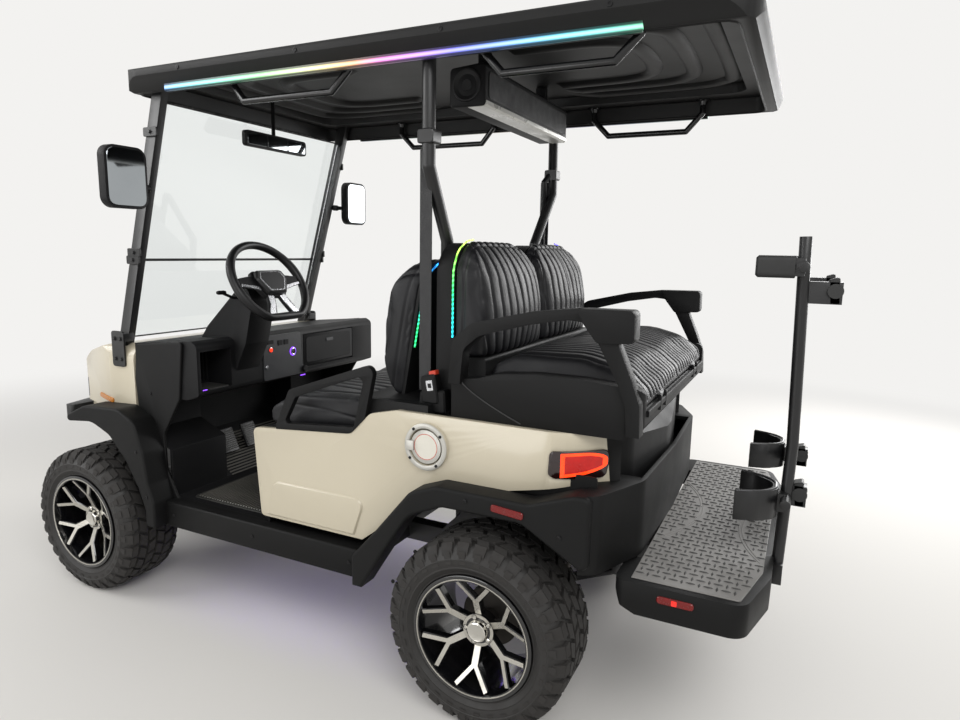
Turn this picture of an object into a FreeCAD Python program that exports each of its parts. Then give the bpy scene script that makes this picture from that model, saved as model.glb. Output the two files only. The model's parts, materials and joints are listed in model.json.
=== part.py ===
# Electric golf cart: two forward seats, a rear-facing bench, a bag rack and 23-inch tyres.
# Millimetres. X runs forward, Y to the cart's left and Z up. The origin is on the ground
# under the middle of the cart.
import FreeCAD, Part
import math
import os
from FreeCAD import Vector

# Driving dimensions of the whole cart
WHEELBASE = 1750
REAR_AXLE_X = -660
FRONT_AXLE_X = REAR_AXLE_X + WHEELBASE
FRONT_END_X = 1530
REAR_END_X = -1530
TYRE_DIAMETER = 584
TYRE_WIDTH = 250
WHEEL_Y = 570
AXLE_Z = TYRE_DIAMETER / 2
KINGPIN_Y = 510

# Clearances
FIT = 0.3
LID_GAP = 4
MOVING_GAP = 5

# Body shell
BODY_HALF = 580
PANEL = 20
RAIL_TOP = 400
FLOOR_PLATE = 20
FLOOR_TOP = RAIL_TOP + FLOOR_PLATE
SILL_HALF = 600
SILL_WIDTH = 60
SILL_LOW = 320
SILL_TOP = 423
SILL_REAR_X = -215
SILL_FRONT_X = 735
TRIM_HALF = 560
TRIM = 12
DASH_FACE_X = 555
DASH_TOP = 1045
COWL_X = 890
DECK_Z = 905
SEAT_FRAME_Z = 650
SEAT_FRONT_X = 230
BODY_REAR_X = REAR_AXLE_X - 370
PANEL_REAR_X = REAR_AXLE_X - 325
PANEL_REAR_Z = DECK_Z - 143
BOX_HALF = BODY_HALF - 170

# Roof and its posts
ROOF_HALF = 600
ROOF_FRONT_X = 850
ROOF_REAR_X = -1305
ROOF_TOP_Z = 2050
ROOF_EDGE_Z = ROOF_TOP_Z - 120
CEILING_Z = ROOF_TOP_Z - 65
CROWN_Z = ROOF_TOP_Z - 32
STRUT_Y = 520
STRUT_FOOT_X = 965
STRUT_FOOT_Z = 1050
STRUT_LEAN = 0.295

# Rear platform
DECK_FRONT_X = -1094
DECK_HORN_X = -1044
DECK_REAR_X = -1424
DECK_TOP = 535
RACK_X = DECK_REAR_X - 8


def place(axis, u, v, w):
    """A point from two coordinates of an outline and its level along the axis."""
    if axis == "X":
        return Vector(w, u, v)
    if axis == "Y":
        return Vector(u, w, v)
    return Vector(u, v, w)


def outline(axis, points, level, radius=0):
    """Closed wire with rounded corners; a point's third value is its own corner radius."""
    corners = []
    for i, point in enumerate(points):
        corner = Vector(point[0], point[1], 0)
        before = Vector(points[i - 1][0], points[i - 1][1], 0) - corner
        following = points[(i + 1) % len(points)]
        after = Vector(following[0], following[1], 0) - corner
        wanted = point[2] if len(point) > 2 else radius
        half = before.getAngle(after) / 2
        reach = min(wanted / math.tan(half), 0.48 * before.Length, 0.48 * after.Length)
        before.normalize()
        after.normalize()
        if reach < 0.01:
            corners.append((corner, None, corner))
            continue
        arc_radius = reach * math.tan(half)
        middle = (before + after).normalize() * (arc_radius / math.sin(half) - arc_radius)
        corners.append((corner + before * reach, corner + middle, corner + after * reach))
    edges = []
    for i, (start, middle, end) in enumerate(corners):
        if middle is not None:
            arc = Part.Arc(*[place(axis, p.x, p.y, level) for p in (start, middle, end)])
            edges.append(arc.toShape())
        nxt = corners[(i + 1) % len(corners)][0]
        if (nxt - end).Length > 0.01:
            ends = [place(axis, p.x, p.y, level) for p in (end, nxt)]
            edges.append(Part.LineSegment(*ends).toShape())
    return Part.Wire(edges)


def prism(axis, points, low, high, radius=0):
    """Solid of an outline in the plane across the axis, from one level to another."""
    face = Part.Face(outline(axis, points, low, radius))
    return face.extrude(place(axis, 0, 0, high - low))


def box(x0, x1, y0, y1, z0, z1):
    return Part.makeBox(x1 - x0, y1 - y0, z1 - z0, Vector(x0, y0, z0))


def fuse(parts):
    whole = parts[0]
    if len(parts) > 1:
        whole = parts[0].multiFuse(parts[1:])
    return whole.removeSplitter()


def disc(axis, u, v, radius, low, high):
    """Cylinder along an axis, centred on two coordinates across it."""
    return Part.makeCylinder(radius, high - low, place(axis, u, v, low), place(axis, 0, 0, 1))


def bar(axis, path, width, low, high):
    """Flat bar of constant width that follows a path, with round elbows."""
    parts = []
    for start, end in zip(path, path[1:]):
        run = Vector(end[0] - start[0], end[1] - start[1], 0).normalize() * (width / 2)
        side = (-run.y, run.x)
        quad = [(start[0] + side[0], start[1] + side[1]), (start[0] - side[0], start[1] - side[1]),
                (end[0] - side[0], end[1] - side[1]), (end[0] + side[0], end[1] + side[1])]
        parts.append(prism(axis, quad, low, high))
    for u, v in path[1:-1]:
        parts.append(disc(axis, u, v, width / 2, low, high))
    return fuse(parts)


def rod(start, end, radius):
    run = Vector(*end) - Vector(*start)
    return Part.makeCylinder(radius, run.Length, Vector(*start), run)


def tube(path, radius):
    """Round tube through a list of points, with ball elbows."""
    parts = [rod(a, b, radius) for a, b in zip(path, path[1:])]
    parts += [Part.makeSphere(radius, Vector(*p)) for p in path[1:-1]]
    return fuse(parts)


def about(u, v, points):
    """Points given from a centre, such as an axle, moved to their place."""
    return [(u + a, v + b, *radius) for a, b, *radius in points]


def right_of(shape):
    return shape.mirror(Vector(0, 0, 0), Vector(0, 1, 0))


def both(shape):
    """The left piece and its mirror image on the right."""
    return [shape, right_of(shape)]


def mirrored_whole(shape):
    """One solid from a left half and its mirror image."""
    return fuse(both(shape))


def save(name, *solids):
    shape = solids[0] if len(solids) == 1 else Part.makeCompound(list(solids))
    print(name, len(shape.Solids), "solids", shape.isValid(), round(shape.Volume / 1e6, 2), "litres")
    shape.exportStep("parts/" + name + ".step")


os.makedirs("parts", exist_ok=True)

# Wheels. A wheel is drawn on the Y axis with its outer face towards +Y, then placed.
RIM_OUTER = 119
RIM_INNER = -115
BEAD_RADIUS = 178
FLANGE_RADIUS = 190
BARREL_RADIUS = 165
BARREL_WALL = 7
HUB_BORE = 30
SPINDLE = HUB_BORE - FIT
HUB_RADIUS = 46
HUB_BACK = 22
HUB_FACE = 66
CAP_RADIUS = 33
CAP_FACE = 82
SPOKES = 6


def ring(profile):
    """Solid turned about the Y axis from (station along Y, radius) points."""
    wire = Part.makePolygon([Vector(r, s, 0) for s, r in profile + profile[:1]])
    return Part.Face(wire).revolve(Vector(0, 0, 0), Vector(0, 1, 0), 360)


def make_tyre():
    tread = TYRE_DIAMETER / 2
    wide = TYRE_WIDTH / 2
    inner = BEAD_RADIUS + FIT
    # station along the axle, radius
    half = [(wide - 22, inner), (wide - 22, FLANGE_RADIUS + 4), (wide - 5, 206), (wide, 236),
            (wide - 5, 262), (wide - 22, tread - 7), (wide - 42, tread)]
    other = [(-s, r) for s, r in reversed(half)]
    return ring(half + other)


def make_rim():
    lip = FLANGE_RADIUS
    seat = BEAD_RADIUS
    well = BARREL_RADIUS + BARREL_WALL
    edge = TYRE_WIDTH / 2 - 22 - FIT
    back = -edge
    profile = [(RIM_OUTER, BARREL_RADIUS + 10), (RIM_OUTER, lip), (edge + 1, lip), (edge + 1, seat),
               (edge - 30, seat), (edge - 45, well), (back + 45, well), (back + 30, seat),
               (back - 1, seat), (back - 1, lip), (RIM_INNER, lip), (RIM_INNER, BARREL_RADIUS + 8),
               (back + 20, BARREL_RADIUS), (edge - 25, BARREL_RADIUS)]
    barrel = ring(profile)
    hub = ring([(HUB_BACK, HUB_BORE), (HUB_BACK, HUB_RADIUS), (HUB_FACE, HUB_RADIUS + 8),
                (HUB_FACE, HUB_BORE)])
    cap = ring([(HUB_FACE - 8, 0), (HUB_FACE - 8, HUB_BORE + 4), (CAP_FACE - 6, CAP_RADIUS),
                (CAP_FACE, CAP_RADIUS - 8), (CAP_FACE, 0)])
    # The spokes lie between two cones, so they rise from the hub to the lip.
    dish = ring([(HUB_FACE - 22, HUB_RADIUS), (RIM_OUTER - 26, BARREL_RADIUS + 4),
                 (RIM_OUTER - 6, BARREL_RADIUS + 4), (HUB_FACE - 2, HUB_RADIUS)])
    spokes = []
    fork = 98
    spread = math.radians(17)
    tip = (BARREL_RADIUS + 2) * math.cos(spread)
    reach = (BARREL_RADIUS + 2) * math.sin(spread)
    stem = bar("Y", [(0, HUB_RADIUS - 4), (0, fork)], 24, RIM_INNER, RIM_OUTER)
    left = bar("Y", [(0, fork - 6), (reach, tip)], 17, RIM_INNER, RIM_OUTER)
    right = bar("Y", [(0, fork - 6), (-reach, tip)], 17, RIM_INNER, RIM_OUTER)
    spoke = fuse([stem, left, right]).common(dish)
    for i in range(SPOKES):
        turned = spoke.copy()
        turned.rotate(Vector(0, 0, 0), Vector(0, 1, 0), 360 / SPOKES * i)
        spokes.append(turned)
    return fuse([barrel, hub, cap] + spokes)


def placed(shape, axle_x, side):
    """Move a wheel piece to its axle; the right-hand one is a mirror image."""
    piece = shape.copy() if side > 0 else right_of(shape)
    piece.translate(Vector(axle_x, side * WHEEL_Y, AXLE_Z))
    return piece


tyre = make_tyre()
rim = make_rim()
# corner, axle place, side
WHEELS = [("front_left", FRONT_AXLE_X, 1), ("front_right", FRONT_AXLE_X, -1),
          ("rear_left", REAR_AXLE_X, 1), ("rear_right", REAR_AXLE_X, -1)]
for corner, axle_x, side in WHEELS:
    save("tyre_" + corner, placed(tyre, axle_x, side))
    save("rim_" + corner, placed(rim, axle_x, side))

# Steel chassis: two box rails that kick up over the rear axle, with cross members,
# outriggers to the sills and a hoop that carries the seats and the rear posts.
RAIL_Y0 = 215
RAIL_Y1 = 265
RAIL_HIGH = 70
KICK_X = -330
KICK_UP = 100
RAIL_REAR_X = -1380
RAIL_FRONT_X = 1440
rail_low = RAIL_TOP - RAIL_HIGH
rail_side = [(RAIL_FRONT_X, rail_low), (RAIL_FRONT_X, RAIL_TOP), (KICK_X, RAIL_TOP),
             (KICK_X - 100, RAIL_TOP + KICK_UP), (RAIL_REAR_X, RAIL_TOP + KICK_UP),
             (RAIL_REAR_X, rail_low + KICK_UP), (KICK_X - 100, rail_low + KICK_UP),
             (KICK_X, rail_low)]
kick_top = RAIL_TOP + KICK_UP
SEAT_HOOP_X = -400
chassis = [prism("Y", rail_side, RAIL_Y0, RAIL_Y1)]
for x in (1400, 1090, 560, -150):
    chassis.append(box(x, x + 40, 0, RAIL_Y1, rail_low + 10, RAIL_TOP))
for x in (-440, -1080, -1360):
    chassis.append(box(x, x + 40, 0, RAIL_Y1, kick_top - 50, kick_top))
for x in (560, -190):
    chassis.append(box(x, x + 40, RAIL_Y1 - 5, SILL_HALF - SILL_WIDTH, rail_low + 10, RAIL_TOP))
chassis.append(box(SEAT_HOOP_X - 25, SEAT_HOOP_X + 25, 0, BODY_HALF - PANEL - 5, SEAT_FRAME_Z - 40,
                   SEAT_FRAME_Z))
chassis.append(box(SEAT_HOOP_X - 20, SEAT_HOOP_X + 20, RAIL_Y0 + 5, RAIL_Y1 - 5, rail_low + KICK_UP + 20,
                   SEAT_FRAME_Z - 10))
# Front towers for the spring units
TOWER_Z = 560
chassis.append(box(FRONT_AXLE_X - 30, FRONT_AXLE_X + 30, RAIL_Y0 + 5, RAIL_Y1 - 5, RAIL_TOP - 10, TOWER_Z))
save("chassis_frame", mirrored_whole(fuse(chassis)))

BATTERY_TOP = 690
save("battery_pack", box(-170, 170, -260, 260, FLOOR_TOP, BATTERY_TOP))

# Rear axle: tubes, gear case, motor, brake drums and wheel spindles in one unit
DRUM_RADIUS = 92
DRUM_INNER = -100
DRUM_OUTER = -20
AXLE_TUBE = 34
axle_half = [disc("Y", REAR_AXLE_X, AXLE_Z, AXLE_TUBE, 0, WHEEL_Y + DRUM_INNER + 5),
             disc("Y", REAR_AXLE_X, AXLE_Z, DRUM_RADIUS, WHEEL_Y + DRUM_INNER, WHEEL_Y + DRUM_OUTER),
             disc("Y", REAR_AXLE_X, AXLE_Z, SPINDLE, WHEEL_Y + DRUM_OUTER - 5, WHEEL_Y + HUB_FACE - 12)]
axle_parts = both(fuse(axle_half))
axle_parts.append(disc("Y", REAR_AXLE_X, AXLE_Z, 96, -20, 90))
axle_parts.append(disc("Y", REAR_AXLE_X + 90, AXLE_Z + 10, 72, -190, 40))
rear_axle = fuse(axle_parts)
save("rear_axle", rear_axle)

# Front suspension: a cross beam on the rails and two arms a side that end at the kingpin
ARM_UPPER_Z = AXLE_Z + 86
ARM_LOWER_Z = AXLE_Z - 86
KINGPIN_RADIUS = 12
ARM_THICK = 16
BEAM_HALF_X = 45
beam = box(FRONT_AXLE_X - BEAM_HALF_X, FRONT_AXLE_X + BEAM_HALF_X, 0, 250, 190, rail_low)
beam = beam.fuse(box(FRONT_AXLE_X - 35, FRONT_AXLE_X + 35, 240, RAIL_Y1 + 30, 190, ARM_UPPER_Z + 8))
beam = beam.cut(box(FRONT_AXLE_X - 60, FRONT_AXLE_X + 60, RAIL_Y0, RAIL_Y1, rail_low, RAIL_TOP))
arms = []
for z in (ARM_LOWER_Z, ARM_UPPER_Z):
    shape = [(FRONT_AXLE_X - 85, RAIL_Y1 + 15), (FRONT_AXLE_X + 85, RAIL_Y1 + 15),
             (FRONT_AXLE_X + 22, KINGPIN_Y + 20), (FRONT_AXLE_X - 22, KINGPIN_Y + 20)]
    hollow = [(FRONT_AXLE_X - 45, RAIL_Y1 + 45), (FRONT_AXLE_X + 45, RAIL_Y1 + 45),
              (FRONT_AXLE_X + 12, KINGPIN_Y - 60), (FRONT_AXLE_X - 12, KINGPIN_Y - 60)]
    low = z - ARM_THICK / 2
    arm = prism("Z", shape, low, low + ARM_THICK, 14).cut(prism("Z", hollow, low, low + ARM_THICK, 6))
    arms.append(arm.cut(disc("Z", FRONT_AXLE_X, KINGPIN_Y, KINGPIN_RADIUS + FIT, low, low + ARM_THICK)))
# The steering rack's sleeve is bolted to the beam and holds the tie rod.
STEER_ARM = 95
TIE_ROD_RADIUS = 10
TIE_ROD_X = FRONT_AXLE_X + STEER_ARM
STEER_ARM_Z = AXLE_Z - 55
STEER_ARM_THICK = 14
TIE_ROD_Z = STEER_ARM_Z + STEER_ARM_THICK / 2 + MOVING_GAP + TIE_ROD_RADIUS
SLEEVE_HALF = 90
sleeve = disc("Y", TIE_ROD_X, TIE_ROD_Z, TIE_ROD_RADIUS + 12, 0, SLEEVE_HALF)
sleeve = sleeve.fuse(box(FRONT_AXLE_X + BEAM_HALF_X - 5, TIE_ROD_X, 0, SLEEVE_HALF - 20, TIE_ROD_Z - 14,
                         TIE_ROD_Z + 14))
suspension = mirrored_whole(fuse([beam, sleeve] + arms))
rod_bore = disc("Y", TIE_ROD_X, TIE_ROD_Z, TIE_ROD_RADIUS + FIT, -SLEEVE_HALF - 5, SLEEVE_HALF + 5)
save("front_suspension", suspension.cut(rod_bore))

# Knuckles: kingpin, stub axle, brake drum and a steering arm that points forward
ARM_END_Y = 450
pin = disc("Z", FRONT_AXLE_X, KINGPIN_Y, KINGPIN_RADIUS, ARM_LOWER_Z - 14, ARM_UPPER_Z + 14)
post = box(FRONT_AXLE_X - 24, FRONT_AXLE_X + 24, KINGPIN_Y - 18, KINGPIN_Y + 40,
           ARM_LOWER_Z + ARM_THICK / 2 + 1, ARM_UPPER_Z - ARM_THICK / 2 - 1)
drum = disc("Y", FRONT_AXLE_X, AXLE_Z, 80, KINGPIN_Y + 30, WHEEL_Y + 10)
stub = disc("Y", FRONT_AXLE_X, AXLE_Z, SPINDLE, WHEEL_Y, WHEEL_Y + HUB_FACE - 12)
steer_arm = bar("Z", [(FRONT_AXLE_X + 10, KINGPIN_Y), (TIE_ROD_X, ARM_END_Y)], 26,
                STEER_ARM_Z - STEER_ARM_THICK / 2, STEER_ARM_Z + STEER_ARM_THICK / 2)
knuckle = fuse([pin, post, drum, stub, steer_arm])
save("knuckle_left", knuckle)
save("knuckle_right", right_of(knuckle))

# Tie rod: it slides through the sleeve, above the ends of the two steering arms
save("tie_rod", disc("Y", TIE_ROD_X, TIE_ROD_Z, TIE_ROD_RADIUS, -ARM_END_Y, ARM_END_Y))

# Springs: leaf packs between the rear rails and the axle, coil units at the front
LEAF_Z = AXLE_Z + AXLE_TUBE + 5
leaf = bar("Y", [(REAR_AXLE_X - 330, kick_top - RAIL_HIGH - 12), (REAR_AXLE_X - 150, LEAF_Z + 10),
                 (REAR_AXLE_X, LEAF_Z), (REAR_AXLE_X + 150, LEAF_Z + 10),
                 (REAR_AXLE_X + 290, rail_low + 40)], 14, RAIL_Y1 + 10, RAIL_Y1 + 60)
leaf = leaf.fuse(box(REAR_AXLE_X - 340, REAR_AXLE_X - 310, RAIL_Y1, RAIL_Y1 + 60, 405, 450))
leaf = leaf.fuse(box(REAR_AXLE_X + 275, REAR_AXLE_X + 305, RAIL_Y1, RAIL_Y1 + 60, 355, 385))
leaf = leaf.removeSplitter().cut(rear_axle)
coil = disc("Z", FRONT_AXLE_X, 350, 30, ARM_UPPER_Z + ARM_THICK / 2, TOWER_Z - 10)
coil = coil.fuse(box(FRONT_AXLE_X - 25, FRONT_AXLE_X + 25, RAIL_Y1 - 5, 375, TOWER_Z - 10, TOWER_Z))
save("springs", *(both(leaf) + both(coil.removeSplitter())))

# Floor: a flat pan and a footwell that rises between the front wheels
PAN_HALF = SILL_HALF - SILL_WIDTH
PAN_REAR_X = -190
WELL_REAR_X = 640
WELL_HALF = 292
WELL_WALL = 12
pan = box(PAN_REAR_X, WELL_REAR_X, -PAN_HALF, PAN_HALF, RAIL_TOP, FLOOR_TOP)


def footwell(wall):
    """The footwell's outer form, or its inner space when a wall thickness is given."""
    rear = WELL_REAR_X - 40 * (wall > 0)
    floor = RAIL_TOP + (FLOOR_PLATE if wall else 0)
    top = 820 + wall
    centre = [(rear, floor), (720 - wall, floor), (975 - wall, 570), (975 - wall, top), (rear, top)]
    sides = [(rear, floor), (728 - wall, floor), (728 - wall, 610), (870 - wall, 670), (870 - wall, top),
             (rear, top)]
    middle = prism("Y", centre, -WELL_HALF + wall, WELL_HALF - wall)
    wide = PAN_HALF + 8 + (10 if wall else 0)
    return middle.fuse(prism("Y", sides, -wide, wide)).removeSplitter()


well = footwell(0).cut(footwell(WELL_WALL))
well = well.cut(box(WELL_REAR_X, COWL_X, PAN_HALF, PAN_HALF + 20, RAIL_TOP - 5, SILL_TOP))
well = well.cut(box(WELL_REAR_X, COWL_X, -PAN_HALF - 20, -PAN_HALF, RAIL_TOP - 5, SILL_TOP))
save("floor_pan", fuse([pan, well]))

# Pedals on the sloping toe board: brake on the left, wide accelerator on the right
pedal_parts = []
for y0, y1 in ((130, 220), (0, 80)):
    plate = bar("Y", [(800, 490), (845, 590)], 12, y0, y1)
    arm = bar("Y", [(822, 540), (930, 480)], 14, (y0 + y1) / 2 - 10, (y0 + y1) / 2 + 10)
    pedal_parts.append(plate.fuse(arm).removeSplitter().common(footwell(WELL_WALL)))
save("pedals", *pedal_parts)

# Dashboard with an open cubby, a glove box and the shroud of the steering column
DASH_HALF = TRIM_HALF - TRIM
DASH_LOW = 820
dash_side = [(DASH_FACE_X, DASH_LOW + 20, 12), (DASH_FACE_X, DASH_TOP - 15, 25),
             (DASH_FACE_X + 30, DASH_TOP, 10), (COWL_X, DASH_TOP - 28), (COWL_X, DASH_LOW),
             (DASH_FACE_X + 60, DASH_LOW)]
dash = prism("Y", dash_side, -DASH_HALF, DASH_HALF)
GLOVE_Y0 = -390
GLOVE_Y1 = -30
GLOVE_Z0 = 866
GLOVE_Z1 = 1016
LID = 12
dash = dash.cut(box(DASH_FACE_X, DASH_FACE_X + 130, 385, DASH_HALF - 15, 855, 1005))
dash = dash.cut(box(DASH_FACE_X, DASH_FACE_X + LID + FIT, GLOVE_Y0, GLOVE_Y1, GLOVE_Z0, GLOVE_Z1))
dash = dash.cut(box(DASH_FACE_X, DASH_FACE_X + 140, GLOVE_Y0 + 15, GLOVE_Y1 - 15, GLOVE_Z0 + 15,
                    GLOVE_Z1 - 15))
GLOVE_PIN = 3
PIN_REACH = 8
glove_hinge = (DASH_FACE_X + LID / 2, GLOVE_Z0 + LID_GAP + LID / 2)
dash = dash.cut(disc("Y", *glove_hinge, GLOVE_PIN + FIT, GLOVE_Y0 - PIN_REACH - FIT,
                     GLOVE_Y1 + PIN_REACH + FIT))
WHEEL_CENTRE = Vector(425, 300, 1260)
COLUMN_TILT = math.radians(31.5)
column_run = Vector(math.cos(COLUMN_TILT), 0, -math.sin(COLUMN_TILT))
SHROUD_START = 62
shroud_from = WHEEL_CENTRE + column_run * SHROUD_START
shroud_side = [(shroud_from.x - 22, shroud_from.z - 36), (shroud_from.x + 22, shroud_from.z + 36),
               (700, 1080), (760, 1000), (560, 900), (500, 1020)]
shroud = prism("Y", shroud_side, WHEEL_CENTRE.y - 62, WHEEL_CENTRE.y + 62, 14)
dash = dash.fuse(shroud).removeSplitter()
SHAFT_RADIUS = 14
shaft_bore = Part.makeCylinder(SHAFT_RADIUS + FIT, 130, WHEEL_CENTRE + column_run * 40, column_run)
save("dashboard", dash.cut(shaft_bore))
glove_lid = box(DASH_FACE_X, DASH_FACE_X + LID, GLOVE_Y0 + LID_GAP, GLOVE_Y1 - LID_GAP, glove_hinge[1],
                GLOVE_Z1 - LID_GAP)
lid_roll = disc("Y", *glove_hinge, LID / 2, GLOVE_Y0 + LID_GAP, GLOVE_Y1 - LID_GAP)
lid_pins = disc("Y", *glove_hinge, GLOVE_PIN, GLOVE_Y0 - PIN_REACH, GLOVE_Y1 + PIN_REACH)
save("glovebox_lid", fuse([glove_lid, lid_roll, lid_pins]))

# Steering wheel: drawn flat with the shaft along +Z, then tipped and moved to its place
GRIP_RADIUS = 15
GRIP_CENTRE = 165
wheel_parts = [Part.makeTorus(GRIP_CENTRE, GRIP_RADIUS)]
wheel_parts.append(prism("Z", [(-75, -48), (75, -48), (75, 48), (-75, 48)], -14, 20, 26))
for angle in (0, 180, 270):
    arm = bar("Z", [(40, 0), (GRIP_CENTRE, 0)], 30, -6, 6)
    arm.rotate(Vector(0, 0, 0), Vector(0, 0, 1), angle)
    wheel_parts.append(arm)
wheel_parts.append(disc("Z", 0, 0, SHAFT_RADIUS, -165, -10))
steering = fuse(wheel_parts)
steering.rotate(Vector(0, 0, 0), Vector(0, 0, 1), -90)
steering.rotate(Vector(0, 0, 0), Vector(0, 1, 0), -(90 - math.degrees(COLUMN_TILT)))
steering.translate(WHEEL_CENTRE)
save("steering_wheel", steering)

# Nose: one moulded shell whose front band holds the mask and the head lamps
NOSE_TOP = DASH_TOP - 30
NOSE_LOW = 600
NOSE_FRONT_X = FRONT_AXLE_X + 335
NOSE_WALL = 12
MASK = 18
BRIDGE = 24
MASK_LOW = 745
MASK_HIGH = 830
MASK_HALF = 235
ARCH_TOP = 735
CHEEK_Y = 310


def nose_block(inset):
    """The nose's outer form, drawn in by an inset on all closed sides."""
    rear = COWL_X - (40 if inset else 0)
    low = NOSE_LOW - (40 if inset else 0)
    front = NOSE_FRONT_X - inset
    side = [(rear, low), (rear, NOSE_TOP - inset), (FRONT_AXLE_X - 40, NOSE_TOP - 13 - inset, 200 - inset),
            (FRONT_AXLE_X + 140 - inset / 2, NOSE_TOP - 60 - inset, 150 - inset),
            (front - 55, NOSE_TOP - 145 - inset / 2, 90 - inset), (front, NOSE_TOP - 275, 60 - inset),
            (front - 25, low)]
    left = [(front, TRIM_HALF - 260, 90 - inset), (front - 95, TRIM_HALF - 90 - inset, 120 - inset),
            (FRONT_AXLE_X - 50, TRIM_HALF - inset, 250 - inset), (rear, TRIM_HALF - inset)]
    plan = [(x, -y, *radius) for x, y, *radius in reversed(left)] + left
    across = [(-TRIM_HALF + inset, low), (-TRIM_HALF + inset, NOSE_TOP - inset, 70 - inset),
              (TRIM_HALF - inset, NOSE_TOP - inset, 70 - inset), (TRIM_HALF - inset, low)]
    block = prism("Y", side, -TRIM_HALF, TRIM_HALF).common(prism("Z", plan, low, NOSE_TOP + 5))
    return block.common(prism("X", across, rear, NOSE_FRONT_X + 5))


nose_form = nose_block(0)
nose = nose_form.cut(nose_block(NOSE_WALL))
mask_zone = box(NOSE_FRONT_X - 135, NOSE_FRONT_X + 15, -TRIM_HALF, TRIM_HALF, MASK_LOW, MASK_HIGH)
band = nose_form.cut(nose_block(MASK)).common(mask_zone)
nose = nose.cut(mask_zone)
for y0, y1 in ((CHEEK_Y, TRIM_HALF + 1), (-TRIM_HALF - 1, -CHEEK_Y)):
    nose = nose.cut(box(COWL_X - 50, NOSE_FRONT_X + 25, y0, y1, NOSE_LOW - 40, ARCH_TOP))
inner_bridge = nose_block(NOSE_WALL).cut(nose_block(BRIDGE))
face_zone = (NOSE_FRONT_X - 225, NOSE_FRONT_X + 15)
bridge = inner_bridge.common(box(*face_zone, -TRIM_HALF, TRIM_HALF, MASK_LOW - 40, MASK_HIGH + 30))
nose = nose.fuse(bridge).removeSplitter()
nose = nose.cut(band)
save("nose_panel", nose)
save("front_mask", band.common(box(*face_zone, -MASK_HALF, MASK_HALF, MASK_LOW, MASK_HIGH)))
head_lamp = band.common(box(*face_zone, MASK_HALF, TRIM_HALF - 90, MASK_LOW, MASK_HIGH))

# Front bumper: a cross bar with a guard hoop, bolted to the ends of the rails
BUMPER_Z = 655
bumper_plan = [(RAIL_FRONT_X, 0), (FRONT_END_X, 0), (FRONT_END_X, 330, 60), (FRONT_END_X - 40, 470, 20),
               (RAIL_FRONT_X + 10, 470, 20), (RAIL_FRONT_X + 10, 300, 40)]
bumper_bar = prism("Z", bumper_plan, BUMPER_Z - 30, BUMPER_Z + 30)
bumper_leg = bar("Y", [(RAIL_FRONT_X + 20, rail_low + 5), (1468, BUMPER_Z)], 40, RAIL_Y0 + 5, RAIL_Y1 - 5)
lower_bar = box(RAIL_FRONT_X + 2, RAIL_FRONT_X + 36, 0, 330, rail_low, RAIL_TOP)
bumper_foot = box(RAIL_FRONT_X, RAIL_FRONT_X + 20, RAIL_Y0, RAIL_Y1, rail_low, RAIL_TOP)
save("front_bumper", mirrored_whole(fuse([bumper_bar, bumper_leg, lower_bar, bumper_foot])))

# Dark side trim: the sill and the cowl's side panel in one moulding, clear of the tyre
# that turns beside it
FLARE_HALF = 655
sill_section = [(SILL_HALF - SILL_WIDTH, SILL_LOW), (SILL_HALF - 8, SILL_LOW, 6), (SILL_HALF, SILL_LOW + 30),
                (SILL_HALF, SILL_TOP, 8), (SILL_HALF - SILL_WIDTH, SILL_TOP)]
sill = prism("X", sill_section, SILL_REAR_X, SILL_FRONT_X)
cowl_side = [(619, DASH_TOP - 2, 15), (COWL_X - 22, 1016, 10), (COWL_X - 3, 880), (870, 700), (806, 515, 60),
             (752, SILL_TOP - 20), (665, SILL_TOP - 20), (690, 440, 30), (738, 532, 60), (742, 672, 50),
             (646, 820, 40)]
cowl = prism("Y", cowl_side, DASH_HALF, TRIM_HALF)
SWEEP_RADIUS = math.hypot(TYRE_DIAMETER / 2, WHEEL_Y + TYRE_WIDTH / 2 - KINGPIN_Y) + MOVING_GAP
wheel_sweep = disc("Y", FRONT_AXLE_X, AXLE_Z, SWEEP_RADIUS, WELL_HALF, FLARE_HALF + 50)
wheel_sweep = wheel_sweep.common(box(0, FRONT_END_X, 0, 900, 0, TYRE_DIAMETER + MOVING_GAP))
save("side_trims", *both(fuse([sill, cowl]).cut(wheel_sweep)))

# Wheel flares: flat arches that stand out from the body over each tyre
FLARE_EDGE = 10
front_arch = about(FRONT_AXLE_X, AXLE_Z, [
    (-390, 38), (-338, 38), (-338, 108, 40), (-305, 188, 90), (-240, 288, 90), (-155, 373, 90),
    (-50, 413, 120), (95, 398, 20), (100, 423, 15), (-10, 473, 80), (-210, 483, 80), (-300, 443, 60),
    (-345, 328, 80), (-362, 208, 80), (-390, 138, 30)])
sill_end = SILL_REAR_X - REAR_AXLE_X
rear_arch = about(REAR_AXLE_X, AXLE_Z, [
    (sill_end, 38), (sill_end - 35, 38), (315, 190, 60), (230, 316, 90), (120, 362, 60), (-130, 362, 60),
    (-240, 300, 60), (-325, 250, 20), (-325, PANEL_REAR_Z - AXLE_Z, 20), (-280, PANEL_REAR_Z - AXLE_Z, 60),
    (-150, 423, 90), (140, 423, 40), (230, 390, 60), (360, 234, 80), (sill_end, 140, 20)])


def flare(arch, inner):
    solid = prism("Y", arch, inner, FLARE_HALF)
    rim_edges = [e for e in solid.Edges if abs(e.BoundBox.YMin - FLARE_HALF) < 0.01]
    return solid.makeFillet(FLARE_EDGE, rim_edges)


front_flare = flare(front_arch, TRIM_HALF)
front_flare = front_flare.cut(box(SILL_REAR_X, SILL_FRONT_X, 0, SILL_HALF, SILL_LOW - 5, SILL_TOP))
front_flare = front_flare.cut(wheel_sweep)
rear_flare = flare(rear_arch, BODY_HALF)
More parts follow.
